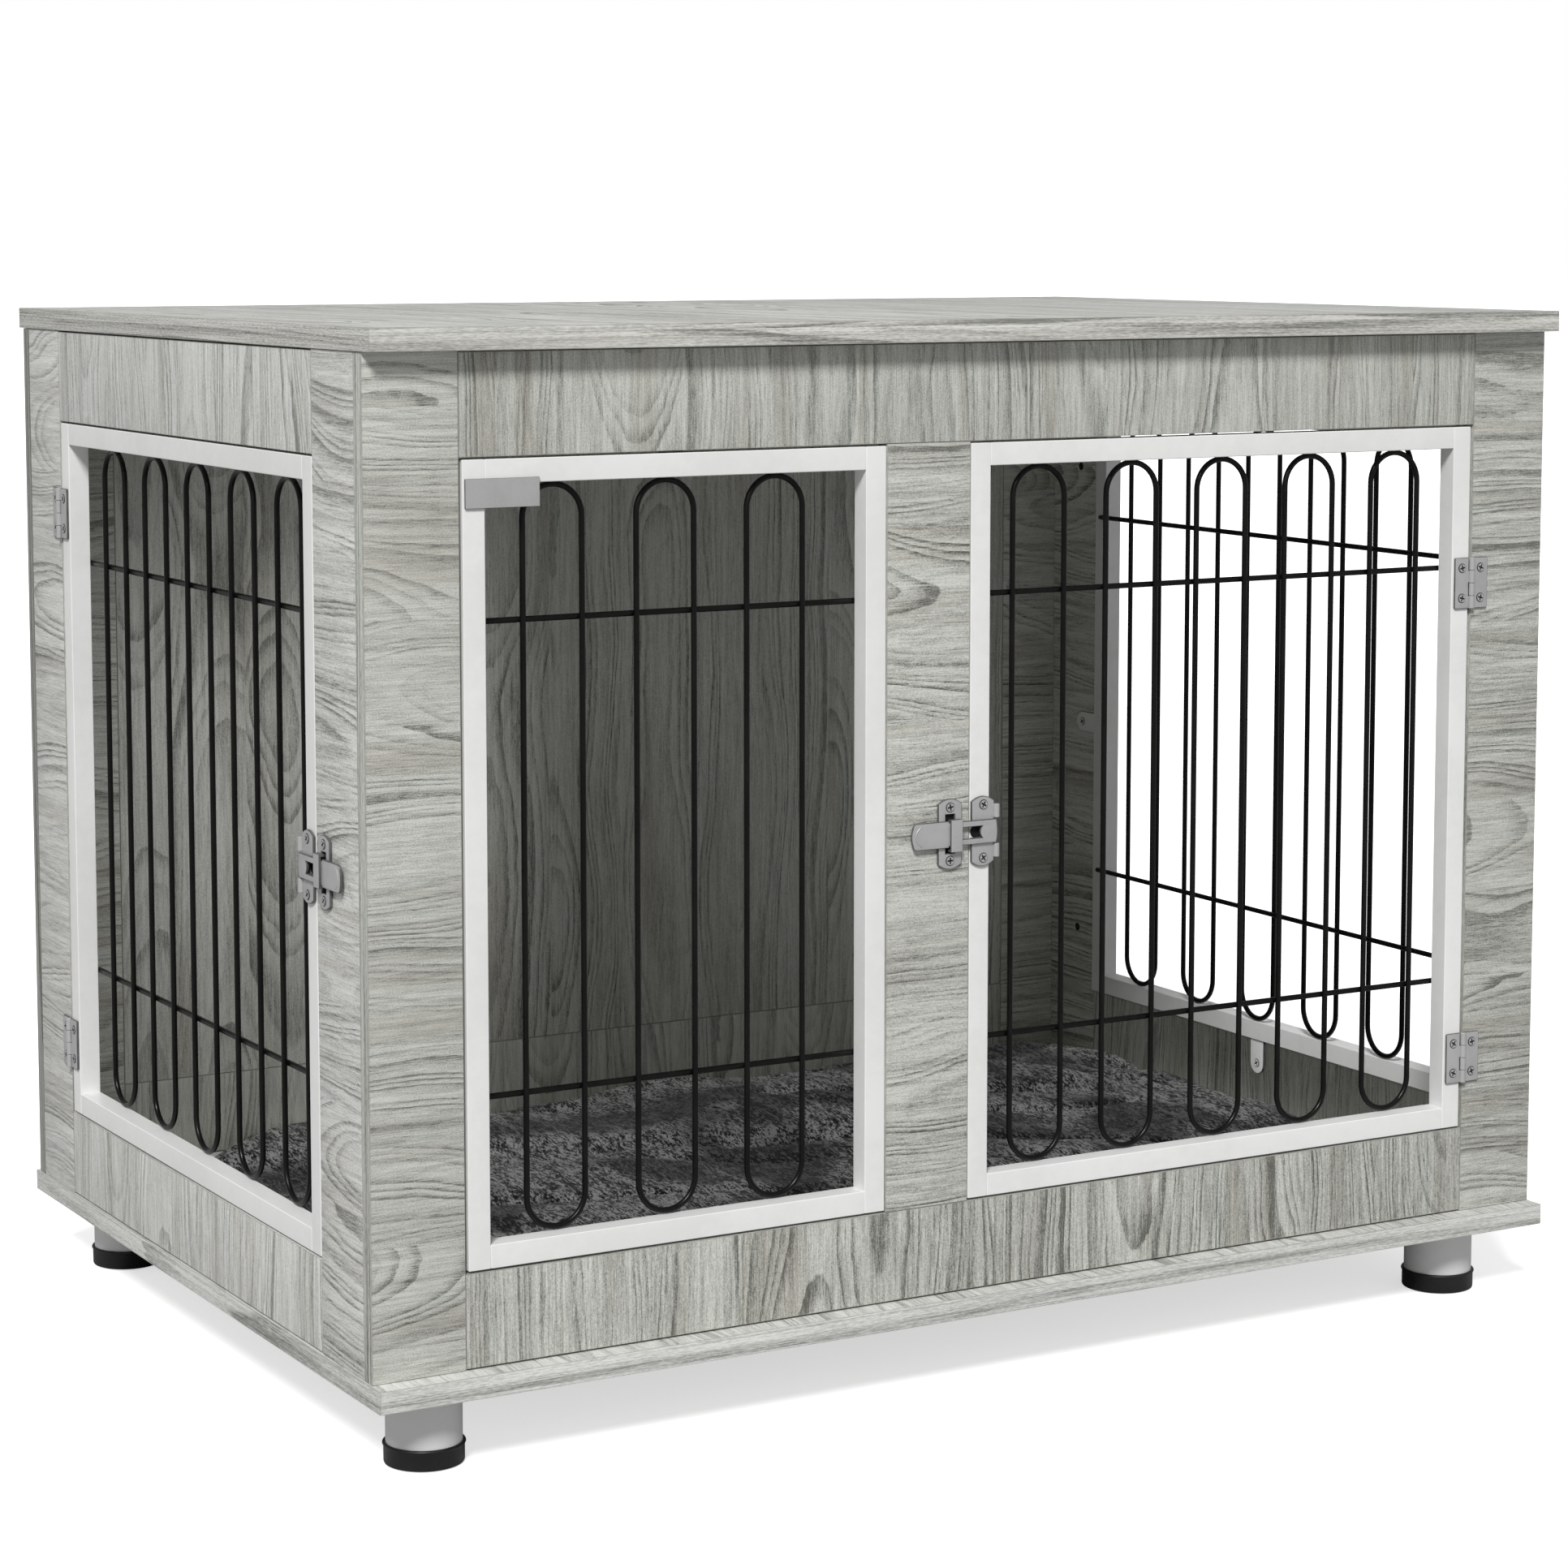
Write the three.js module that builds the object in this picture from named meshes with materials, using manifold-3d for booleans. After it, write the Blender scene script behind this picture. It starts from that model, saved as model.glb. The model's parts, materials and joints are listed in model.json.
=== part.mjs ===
// Dog crate end table: a cabinet of flat wood boards on four short feet, closed all round by
// wire grilles in square-tube frames. The panel at the right of the front and the panel in the
// left side are doors, each on two butt hinges and kept shut by a sliding bolt.
// Millimetres, +Z up. The front faces -Y. The origin is on the ground, in the middle of the
// space that the whole table takes up, side latch included.

import * as THREE from 'three';
import { mergeVertices } from 'three/addons/utils/BufferGeometryUtils.js';
import Module from 'manifold-3d';

const wasm = await Module();
wasm.setup();

// Top and bottom boards
const boardLength = 940;
const boardDepth = 658;
const boardThickness = 15;
const insideHeight = 649;

// Where the four walls stand under the top board
const frontOverhang = 14.5;
const backOverhang = 6.5;
const sideOverhang = 1;

// Stiles and rails of the walls
const wallThickness = 12;
const frontStileWidth = 65;
const sideStileWidth = 67;
const topRailHeight = 65.5;
const bottomRailHeight = 61.5;
const railToBoardGap = 1.2;
const fixedOpeningWidth = 311.5;
const woodGap = 0.25;

// Square-tube frames
const tubeWidth = 15.5;
const tubeDepth = 15.5;
const frameEndGap = 1.5;
const frameLooseGap = 2.4;
const frameTightGap = 0.8;

// Wire grilles
const wireDiameter = 4;
const loopSpan = 42;
const weldBite = 0.6;
const crossWireTopDrop = 88;
const crossWireBottomRise = 92;
const crossWireLap = 6;
const fixedLoopCount = 3;
const fixedLoopMargin = 34.5;
const fixedGrilleShift = -4;
const doorLoopCount = 5;
const doorLoopMargin = 22.5;
const doorGrilleShift = 2.5;
const sideLoopCount = 5;
const sideLoopMargin = 34.5;
const sideGrilleShift = 0;

// Tabs that hold the fixed frames to the wood
const tabWidth = 17.5;
const tabReach = 28;
const tabThickness = 2;
const tabDrop = 25;

// Hardware: clearances, screws
const seatGap = 0.25;
const runGap = 0.3;
const screwHeadRadius = 3.3;
const screwHeadHeight = 0.4;
const weldOverlap = 0.1;
const cutBeyond = 1;

// Butt hinges
const hingeHeight = 37;
const hingeLeafReach = 15;
const hingeLeafThickness = 1.5;
const knuckleRadius = 2.2;
const knuckleCount = 4;
const pinRadius = 1.1;
const pinClearance = 0.1;
const hingeScrewInset = 7.5;
const hingeScrewEdge = 6.5;
const frontUpperHingeDrop = 113.5;
const sideUpperHingeDrop = 66.5;
const lowerHingeRise = 52;

// Slide latches
const latchDrop = 263;
const latchPlateHeight = 48;
const latchPlateBulge = 3.4;
const latchPlateThickness = 2;
const latchScrewInset = 5.8;
const stilePlateWidth = 18.6;
const stilePlateOffset = 7;
const doorPlateWidth = 18;
const strapWidth = 9.2;
const strapHeight = 22;
const strapThickness = 1.6;
const strapOffset = 8.6;
const strapWindowWidth = 7.4;
const boltThickness = 1.8;
const boltHeight = 16.2;
const boltReach = 20.4;
const boltTipBulge = 1;
const thumbLength = 31;
const thumbHeight = 19.7;
const thumbBulge = 2.6;
const eyeHeight = 8;
const eyeEndInset = 12.2;
const eyeTongueBulge = 1.7;
const keeperRadius = 3.6;
const keeperDepth = 3;
const keeperOffset = 6.5;
const doorPlateScrewShift = 0.5;
const curlRadius = 1.9;
const curlLap = 0.5;
const curlHeight = 9.2;
const curlSpacing = 27;

// Plate on the fixed front frame
const namePlateLength = 51.5;
const namePlateHeight = 18.5;
const namePlateThickness = 1.6;
const namePlateInset = 1.2;
const namePlateDrop = 12;

// Feet
const footHeight = 52;
const footRadius = 25;
const footWall = 1.5;
const footTopThickness = 3;
const footInset = 53.5;
const capHeight = 14;
const capWall = 1;
const capFloor = 3;
const capRidge = 0.8;
const capRidgeHeight = 2.4;

// How many flat sides stand in for a round one
const wireSides = 8;
const smallRoundSides = 12;
const roundSides = 16;
const footSides = 40;

// Floor cushion
const cushionThickness = 48;
const cushionSideGap = 22;
const cushionFrontGap = 22;
const cushionBackGap = 42;
const cushionCornerRadius = 80;
const cushionEdgeRound = 14;

// Sizes that follow from the ones above
const wallLength = boardLength - 2 * sideOverhang;
const wallsDepth = boardDepth - frontOverhang - backOverhang;
const sideWallLength = wallsDepth - 2 * (wallThickness + woodGap);
const floorHeight = footHeight + boardThickness;
const tableHeight = floorHeight + insideHeight + boardThickness;
const frontFaceY = -boardDepth / 2 + frontOverhang;
const backFaceY = boardDepth / 2 - backOverhang;
const sideFaceX = wallLength / 2;
const openingBottom = railToBoardGap + bottomRailHeight;
const openingTop = insideHeight - railToBoardGap - topRailHeight;
const frameBottom = openingBottom + frameEndGap;
const frameTop = openingTop - frameEndGap;
const frameHeight = frameTop - frameBottom;
const wireRadius = wireDiameter / 2;
const knuckleLength = hingeHeight / knuckleCount;
const boltBack = seatGap + latchPlateThickness + runGap;
const strapBack = boltBack + boltThickness + runGap;
const latchProjection = strapBack + strapThickness;

// Finishes
const finishes = {
  wood: { color: 0xb9bbb2, roughness: 0.62, metalness: 0 },
  frame: { color: 0xe4e4e2, roughness: 0.42, metalness: 0 },
  wire: { color: 0x1d1d1b, roughness: 0.38, metalness: 0.1 },
  steel: { color: 0xa9a9a9, roughness: 0.34, metalness: 0.85 },
  foot: { color: 0xb4b5b6, roughness: 0.28, metalness: 0.9 },
  cap: { color: 0x1a1a1b, roughness: 0.55, metalness: 0 },
  plush: { color: 0x4a4a4b, roughness: 0.95, metalness: 0 },
};

// ---- helpers -------------------------------------------------------------------------------

function piece(name, geometry, finish, x = 0, y = 0, z = 0) {
  const mesh = new THREE.Mesh(geometry, new THREE.MeshStandardMaterial(finishes[finish]));
  mesh.name = name;
  mesh.position.set(x, y, z);
  return mesh;
}

function toSolid(geometry) {
  const bare = geometry.clone();
  bare.deleteAttribute('normal');
  bare.deleteAttribute('uv');
  const merged = mergeVertices(bare, 1e-4);
  const vertProperties = new Float32Array(merged.attributes.position.array);
  const triVerts = new Uint32Array(merged.index.array);
  return new wasm.Manifold(new wasm.Mesh({ numProp: 3, vertProperties, triVerts }));
}

function toGeometry(solid) {
  const mesh = solid.getMesh();
  const geometry = new THREE.BufferGeometry();
  geometry.setAttribute('position', new THREE.BufferAttribute(new Float32Array(mesh.vertProperties), 3));
  geometry.setIndex(new THREE.BufferAttribute(new Uint32Array(mesh.triVerts), 1));
  geometry.computeVertexNormals();
  return geometry;
}

function shapeFrom(added, removed = []) {
  let solid = toSolid(added[0]);
  for (const geometry of added.slice(1)) {
    solid = solid.add(toSolid(geometry));
  }
  for (const geometry of removed) {
    solid = solid.subtract(toSolid(geometry));
  }
  return toGeometry(solid);
}

// A block between two corners.
function block(x0, x1, y0, y1, z0, z1) {
  const box = new THREE.BoxGeometry(x1 - x0, y1 - y0, z1 - z0);
  return box.translate((x0 + x1) / 2, (y0 + y1) / 2, (z0 + z1) / 2);
}

// A slab that follows an outline drawn in x and z, between two values of y.
function slab(outline, y0, y1) {
  const geometry = new THREE.ExtrudeGeometry(outline, {
    depth: y1 - y0, bevelEnabled: false, curveSegments: 8,
  });
  return geometry.rotateX(Math.PI / 2).translate(0, y1, 0);
}

function rectangle(x0, x1, z0, z1) {
  const outline = new THREE.Shape();
  outline.moveTo(x0, z0);
  outline.lineTo(x1, z0);
  outline.lineTo(x1, z1);
  outline.lineTo(x0, z1);
  outline.closePath();
  return outline;
}

// A round bar along x, y or z.
function bar(axis, radius, from, to, sides) {
  const geometry = new THREE.CylinderGeometry(radius, radius, to - from, sides);
  geometry.translate(0, (from + to) / 2, 0);
  if (axis === 'x') {
    geometry.rotateZ(-Math.PI / 2);
  }
  if (axis === 'z') {
    geometry.rotateX(Math.PI / 2);
  }
  return geometry;
}

// A screw head on an outward face at y = face.
function screwHead(x, z, face) {
  const head = bar('y', screwHeadRadius, face - screwHeadHeight, face + screwHeadHeight, smallRoundSides);
  return head.translate(x, 0, z);
}

// A wall is drawn as it is seen from outside: x runs to the right, z up, y into the table,
// with its outer face on y = 0 and its lower left corner on the origin.
function wall(turn, x, y) {
  const group = new THREE.Group();
  group.rotation.z = turn;
  group.position.set(x, y, floorHeight);
  return group;
}

// ---- boards and feet -----------------------------------------------------------------------

function addBoards(table) {
  const size = [boardLength, boardDepth, boardThickness];
  const bottomZ = footHeight + boardThickness / 2;
  const topZ = tableHeight - boardThickness / 2;
  table.add(piece('bottom_board', new THREE.BoxGeometry(...size), 'wood', 0, 0, bottomZ));
  table.add(piece('top_board', new THREE.BoxGeometry(...size), 'wood', 0, 0, topZ));
}

// A steel tube closed at its top, where it is screwed to the bottom board.
function footTube() {
  const inner = footRadius - footWall;
  const bottom = capFloor + runGap;
  const profile = [
    new THREE.Vector2(0, footHeight - footTopThickness),
    new THREE.Vector2(inner, footHeight - footTopThickness),
    new THREE.Vector2(inner, bottom),
    new THREE.Vector2(footRadius, bottom),
    new THREE.Vector2(footRadius, footHeight),
    new THREE.Vector2(0, footHeight),
  ];
  return new THREE.LatheGeometry(profile, footSides).rotateX(Math.PI / 2);
}

// A plastic cap around the lower end of the tube, with a ridge round its rim.
function footCap() {
  const inner = footRadius + runGap;
  const outer = inner + capWall;
  const rim = outer + capRidge;
  const profile = [
    new THREE.Vector2(0, 0),
    new THREE.Vector2(outer, 0),
    new THREE.Vector2(outer, capHeight - capRidgeHeight),
    new THREE.Vector2(rim, capHeight - 0.7 * capRidgeHeight),
    new THREE.Vector2(rim, capHeight - 0.3 * capRidgeHeight),
    new THREE.Vector2(outer, capHeight),
    new THREE.Vector2(inner, capHeight),
    new THREE.Vector2(inner, capFloor),
    new THREE.Vector2(0, capFloor),
  ];
  return new THREE.LatheGeometry(profile, footSides).rotateX(Math.PI / 2);
}

function addFeet(table) {
  const x = boardLength / 2 - footInset;
  const y = boardDepth / 2 - footInset;
  const places = { front_left: [-x, -y], front_right: [x, -y], back_left: [-x, y], back_right: [x, y] };
  for (const [place, [footX, footY]] of Object.entries(places)) {
    table.add(piece(`${place}_foot_tube`, footTube(), 'foot', footX, footY, 0));
    table.add(piece(`${place}_foot_cap`, footCap(), 'cap', footX, footY, 0));
  }
}

// ---- wood walls ----------------------------------------------------------------------------

function stile(name, x, width) {
  return piece(name, block(x, x + width, 0, wallThickness, woodGap, insideHeight - woodGap), 'wood');
}

function rail(name, x0, x1, z0, z1) {
  return piece(name, block(x0 + woodGap, x1 - woodGap, 0, wallThickness, z0, z1), 'wood');
}

function addRails(group, prefix, x0, x1) {
  group.add(rail(`${prefix}_bottom_rail`, x0, x1, railToBoardGap, openingBottom));
  group.add(rail(`${prefix}_top_rail`, x0, x1, openingTop, insideHeight - railToBoardGap));
}

function addFrontWood(group) {
  const middle = frontStileWidth + fixedOpeningWidth;
  const right = wallLength - frontStileWidth;
  group.add(stile('front_left_stile', 0, frontStileWidth));
  group.add(stile('front_right_stile', right, frontStileWidth));
  addRails(group, 'front', frontStileWidth, right);
  const middleStile = block(middle, middle + frontStileWidth, 0, wallThickness,
    openingBottom + woodGap, openingTop - woodGap);
  group.add(piece('front_middle_stile', middleStile, 'wood'));
}

// The names are in the order in which the stiles are seen from outside, left then right.
function addSideWood(group, prefix, leftName, rightName) {
  const right = sideWallLength - sideStileWidth;
  group.add(stile(leftName, 0, sideStileWidth));
  group.add(stile(rightName, right, sideStileWidth));
  addRails(group, prefix, sideStileWidth, right);
}

function addBackWood(group) {
  const right = wallLength - frontStileWidth;
  group.add(stile('back_right_stile', 0, frontStileWidth));
  group.add(stile('back_left_stile', right, frontStileWidth));
  addRails(group, 'back', frontStileWidth, right);
  group.add(rail('back_panel', frontStileWidth, right, openingBottom + woodGap, openingTop - woodGap));
}

// ---- tube frames and grilles ---------------------------------------------------------------

// The opening between two stiles, and the frame that stands in it.
function framePlace(openingLeft, openingRight, leftGap, rightGap) {
  const left = openingLeft + leftGap;
  const right = openingRight - rightGap;
  return { left, right, innerLeft: left + tubeWidth, innerRight: right - tubeWidth };
}

function tubeFrame(place) {
  const outline = rectangle(place.left, place.right, frameBottom, frameTop);
  const innerBottom = frameBottom + tubeWidth;
  const innerTop = frameTop - tubeWidth;
  outline.holes.push(rectangle(place.innerLeft, place.innerRight, innerBottom, innerTop));
  return slab(outline, 0, tubeDepth);
}

// A tab with a round end, drawn pointing along +x from the tube's side, with its screw.
function tab() {
  const round = tabWidth / 2;
  const outline = new THREE.Shape();
  outline.moveTo(-tubeWidth / 2, -round);
  outline.lineTo(tabReach - round, -round);
  outline.absarc(tabReach - round, 0, round, -Math.PI / 2, Math.PI / 2, false);
  outline.lineTo(-tubeWidth / 2, round);
  outline.closePath();
  const back = wallThickness + seatGap;
  const inside = back + tabThickness;
  const head = bar('y', screwHeadRadius, inside - screwHeadHeight, inside + screwHeadHeight, smallRoundSides);
  return [slab(outline, back, inside), head.translate(tabReach - round, 0, 0)];
}

// Four tabs, one on each bar of the frame.
function frameTabs(place) {
  const middleX = (place.left + place.right) / 2;
  const middleZ = (frameBottom + frameTop) / 2;
  const places = [
    { x: place.right, z: middleZ - tabDrop, turn: 0 },
    { x: place.left, z: middleZ - tabDrop, turn: Math.PI },
    { x: middleX, z: frameTop, turn: -Math.PI / 2 },
    { x: middleX, z: frameBottom, turn: Math.PI / 2 },
  ];
  return places.flatMap(({ x, z, turn }) => tab().map((part) => part.rotateY(turn).translate(x, 0, z)));
}

function fixedFrame(name, place) {
  return piece(name, shapeFrom([tubeFrame(place), ...frameTabs(place)]), 'frame');
}

// A door's frame has a blind hole for the latch in the middle of its free bar.
function doorFrame(name, place, freeEdge, inward) {
  const hole = bar('y', keeperRadius, -cutBeyond, keeperDepth, roundSides);
  hole.translate(freeEdge + inward * keeperOffset, 0, frameTop - latchDrop);
  return piece(name, shapeFrom([tubeFrame(place)], [hole]), 'frame');
}

// One closed loop of wire: two half circles joined by two straight lengths.
function wireLoop(x, y, z0, z1) {
  const radius = loopSpan / 2;
  const ring = new THREE.TorusGeometry(radius, wireRadius, wireSides, roundSides);
  ring.rotateZ(Math.PI / roundSides);
  const stretch = (z1 - z0) / 2 - radius - wireRadius;
  const points = ring.attributes.position;
  for (let i = 0; i < points.count; i += 1) {
    points.setY(i, points.getY(i) + Math.sign(points.getY(i)) * stretch);
  }
  return ring.rotateX(Math.PI / 2).translate(x, y, (z0 + z1) / 2);
}

// Loops between the top and bottom bars, and two wires across them on the inner side, which
// lap over the back of the tubes.
function grille(name, place, loops) {
  const bottom = frameBottom + tubeWidth + runGap;
  const top = frameTop - tubeWidth - runGap;
  const crossY = tubeDepth + runGap + wireRadius;
  const loopY = crossY - wireDiameter + weldBite;
  const first = place.innerLeft + loops.margin + wireRadius + loopSpan / 2;
  const last = place.innerRight - loops.margin - wireRadius - loopSpan / 2;
  const wires = [];
  for (let i = 0; i < loops.count; i += 1) {
    const x = first + (last - first) * (i / (loops.count - 1)) + loops.shift;
    wires.push(wireLoop(x, loopY, bottom, top));
  }
  for (const z of [top + runGap - crossWireTopDrop, bottom - runGap + crossWireBottomRise]) {
    const cross = bar('x', wireRadius, place.innerLeft - crossWireLap, place.innerRight + crossWireLap, wireSides);
    wires.unshift(cross.rotateX(Math.PI / wireSides).translate(0, crossY, z));
  }
  return piece(name, shapeFrom(wires), 'wire');
}

// ---- butt hinges ---------------------------------------------------------------------------

// One leaf to the right of the pin, which is on x = 0. The leaf holds every second knuckle,
// counted from the top: first and third, or second and fourth.
function hingeLeaf(firstKnuckle) {
  const axisY = -(seatGap + knuckleRadius);
  const front = -(seatGap + hingeLeafThickness);
  const edge = knuckleRadius + runGap;
  const added = [block(edge, hingeLeafReach, front, -seatGap, 0, hingeHeight)];
  for (let i = firstKnuckle; i < knuckleCount; i += 2) {
    const top = hingeHeight - i * knuckleLength - (i === 0 ? 0 : runGap / 2);
    const bottom = hingeHeight - (i + 1) * knuckleLength + (i === knuckleCount - 1 ? 0 : runGap / 2);
    added.push(block(0, edge + weldOverlap, front, -seatGap, bottom, top));
    added.push(bar('z', knuckleRadius, bottom, top, roundSides).translate(0, axisY, 0));
  }
  for (const z of [hingeScrewInset, hingeHeight - hingeScrewInset]) {
    added.push(screwHead(hingeLeafReach - hingeScrewEdge, z, front));
  }
  const boreRadius = pinRadius + pinClearance;
  const bore = bar('z', boreRadius, -cutBeyond, hingeHeight + cutBeyond, roundSides).translate(0, axisY, 0);
  return shapeFrom(added, [bore]);
}

function hingePin() {
  const axisY = -(seatGap + knuckleRadius);
  return bar('z', pinRadius, 0, hingeHeight, roundSides).translate(0, axisY, 0);
}

// Both leaves and the pin. Seen from outside, the stile is on the right of the pin, or on the
// left where the hinge is turned over.
function addHinge(group, prefix, x, z, turnedOver) {
  const hinge = new THREE.Group();
  hinge.position.set(x, 0, z + (turnedOver ? hingeHeight / 2 : -hingeHeight / 2));
  hinge.rotation.y = turnedOver ? Math.PI : 0;
  hinge.add(piece(`${prefix}_stile_leaf`, hingeLeaf(0), 'steel'));
  const doorLeaf = hingeLeaf(0).rotateY(Math.PI).translate(0, 0, hingeHeight);
  hinge.add(piece(`${prefix}_door_leaf`, doorLeaf, 'steel'));
  hinge.add(piece(`${prefix}_pin`, hingePin(), 'steel'));
  group.add(hinge);
}

function addHinges(group, prefix, x, upperDrop, turnedOver) {
  addHinge(group, `${prefix}_upper_hinge`, x, frameTop - upperDrop, turnedOver);
  addHinge(group, `${prefix}_lower_hinge`, x, frameBottom + lowerHingeRise, turnedOver);
}

// ---- slide latches -------------------------------------------------------------------------

// A latch is drawn with the door to the right of x = 0 and its stile to the left, about z = 0.

// An upright plate whose ends bulge in a shallow arc.
function roundEndedPlate(x0, x1) {
  const half = latchPlateHeight / 2;
  const middle = (x0 + x1) / 2;
  const outline = new THREE.Shape();
  outline.moveTo(x0, latchPlateBulge - half);
  outline.quadraticCurveTo(middle, -latchPlateBulge - half, x1, latchPlateBulge - half);
  outline.lineTo(x1, half - latchPlateBulge);
  outline.quadraticCurveTo(middle, half + latchPlateBulge, x0, half - latchPlateBulge);
  outline.closePath();
  return outline;
}

function plateScrews(x) {
  const reach = latchPlateHeight / 2 - latchScrewInset;
  return [-reach, reach].map((z) => screwHead(x, z, -(seatGap + latchPlateThickness)));
}

// The stile's plate, with the strap that the bolt runs under and the window behind it.
function stilePlate() {
  const x1 = -stilePlateOffset;
  const x0 = x1 - stilePlateWidth;
  const front = -(seatGap + latchPlateThickness);
  const strapX1 = -strapOffset;
  const strapX0 = strapX1 - strapWidth;
  const windowX = (x0 + x1) / 2;
  const half = strapHeight / 2;
  const legs = [-half, half - strapThickness];
  const added = [
    slab(roundEndedPlate(x0, x1), front, -seatGap),
    block(strapX0, strapX1, -latchProjection, -strapBack, -half, half),
    ...legs.map((z) => block(strapX0, strapX1, -strapBack - weldOverlap, front + weldOverlap, z, z + strapThickness)),
    ...plateScrews(windowX),
  ];
  const inside = half - strapThickness;
  const window = block(windowX - strapWindowWidth / 2, windowX + strapWindowWidth / 2,
    front - cutBeyond, 0, -inside, inside);
  return shapeFrom(added, [window]);
}

// The flat bolt: a thumb end, and an eye with a tongue at its tip.
function bolt() {
  const shoulder = -strapOffset - strapWidth - runGap;
  const thumbEnd = shoulder - thumbLength;
  const half = boltHeight / 2;
  const thumbHalf = thumbHeight / 2;
  const outline = new THREE.Shape();
  outline.moveTo(shoulder, -thumbHalf);
  outline.lineTo(shoulder, -half);
  outline.lineTo(boltReach - boltTipBulge, -half);
  outline.quadraticCurveTo(boltReach + boltTipBulge, 0, boltReach - boltTipBulge, half);
  outline.lineTo(shoulder, half);
  outline.lineTo(shoulder, thumbHalf);
  outline.lineTo(thumbEnd + thumbBulge, thumbHalf);
  outline.quadraticCurveTo(thumbEnd - thumbBulge, 0, thumbEnd + thumbBulge, -thumbHalf);
  outline.closePath();
  const eye = new THREE.Path();
  const eyeLeft = -strapOffset + runGap;
  const eyeRight = boltReach - eyeEndInset;
  eye.moveTo(eyeLeft, -eyeHeight / 2);
  eye.lineTo(eyeRight, -eyeHeight / 2);
  eye.quadraticCurveTo(eyeRight - 2 * eyeTongueBulge, 0, eyeRight, eyeHeight / 2);
  eye.lineTo(eyeLeft, eyeHeight / 2);
  eye.closePath();
  outline.holes.push(eye);
  return slab(outline, -boltBack - boltThickness, -boltBack);
}

// The door's plate, open behind the bolt's eye, with two curls past the tube's inner edge.
function doorPlate(edge) {
  const x0 = edge;
  const x1 = edge + doorPlateWidth;
  const front = -(seatGap + latchPlateThickness);
  const added = [slab(roundEndedPlate(x0, x1), front, -seatGap)];
  for (const z of [-curlSpacing / 2, curlSpacing / 2]) {
    const curl = bar('z', curlRadius, z - curlHeight / 2, z + curlHeight / 2, smallRoundSides);
    added.push(curl.translate(x1 + curlRadius - curlLap, -seatGap - curlRadius, 0));
  }
  added.push(...plateScrews((x0 + x1) / 2 + doorPlateScrewShift));
  const notchEnd = x0 + keeperOffset + keeperRadius;
  const notch = block(x0 - cutBeyond, notchEnd, front - cutBeyond, 0, -eyeHeight / 2, eyeHeight / 2);
  return shapeFrom(added, [notch]);
}

// The edge is how far the door's own edge lies from the stile.
function addLatch(group, prefix, x, edge, turnedOver) {
  const latch = new THREE.Group();
  latch.position.set(x, 0, frameTop - latchDrop);
  latch.rotation.y = turnedOver ? Math.PI : 0;
  latch.add(piece(`${prefix}_latch_stile_plate`, stilePlate(), 'steel'));
  latch.add(piece(`${prefix}_latch_bolt`, bolt(), 'steel'));
  latch.add(piece(`${prefix}_latch_door_plate`, doorPlate(edge), 'steel'));
  group.add(latch);
}

// ---- walls ---------------------------------------------------------------------------------

function namePlate(place) {
  const x = place.left + namePlateInset;
  const z = frameTop - namePlateDrop;
  return block(x, x + namePlateLength, -(seatGap + namePlateThickness), -seatGap, z - namePlateHeight, z);
}

function frontWall() {
  const group = wall(0, -sideFaceX, frontFaceY);
  addFrontWood(group);
  const middle = frontStileWidth + fixedOpeningWidth;
  const right = wallLength - frontStileWidth;

  const fixed = framePlace(frontStileWidth, middle, frameLooseGap, frameTightGap);
  const fixedLoops = { count: fixedLoopCount, margin: fixedLoopMargin, shift: fixedGrilleShift };
  group.add(fixedFrame('front_fixed_frame', fixed));
  group.add(grille('front_fixed_grille', fixed, fixedLoops));
  group.add(piece('name_plate', namePlate(fixed), 'steel'));

  const freeEdge = middle + frontStileWidth;
  const door = framePlace(freeEdge, right, frameTightGap, frameLooseGap);
  const doorLoops = { count: doorLoopCount, margin: doorLoopMargin, shift: doorGrilleShift };
  group.add(doorFrame('front_door_frame', door, door.left, 1));
  group.add(grille('front_door_grille', door, doorLoops));
  addHinges(group, 'front_door', right - frameLooseGap / 2, frontUpperHingeDrop, false);
  addLatch(group, 'front_door', freeEdge, frameTightGap, false);
  return group;
}

function leftWall() {
  const group = wall(-Math.PI / 2, -sideFaceX, backFaceY - wallThickness - woodGap);
  addSideWood(group, 'left', 'left_back_stile', 'left_front_stile');
  const freeEdge = sideWallLength - sideStileWidth;
  const door = framePlace(sideStileWidth, freeEdge, frameLooseGap, frameTightGap);
  const loops = { count: sideLoopCount, margin: sideLoopMargin, shift: sideGrilleShift };
  group.add(doorFrame('side_door_frame', door, door.right, -1));
  group.add(grille('side_door_grille', door, loops));
  addHinges(group, 'side_door', sideStileWidth + frameLooseGap / 2, sideUpperHingeDrop, true);
  addLatch(group, 'side_door', freeEdge, frameTightGap, true);
  return group;
}

function rightWall() {
  const group = wall(Math.PI / 2, sideFaceX, frontFaceY + wallThickness + woodGap);
  addSideWood(group, 'right', 'right_front_stile', 'right_back_stile');
  const openingRight = sideWallLength - sideStileWidth;
  const fixed = framePlace(sideStileWidth, openingRight, frameEndGap, frameEndGap);
  const loops = { count: sideLoopCount, margin: sideLoopMargin, shift: sideGrilleShift };
  group.add(fixedFrame('right_fixed_frame', fixed));
  group.add(grille('right_fixed_grille', fixed, loops));
  return group;
}

function backWall() {
  const group = wall(Math.PI, sideFaceX, backFaceY);
  addBackWood(group);
  return group;
}

// ---- cushion -------------------------------------------------------------------------------

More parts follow.
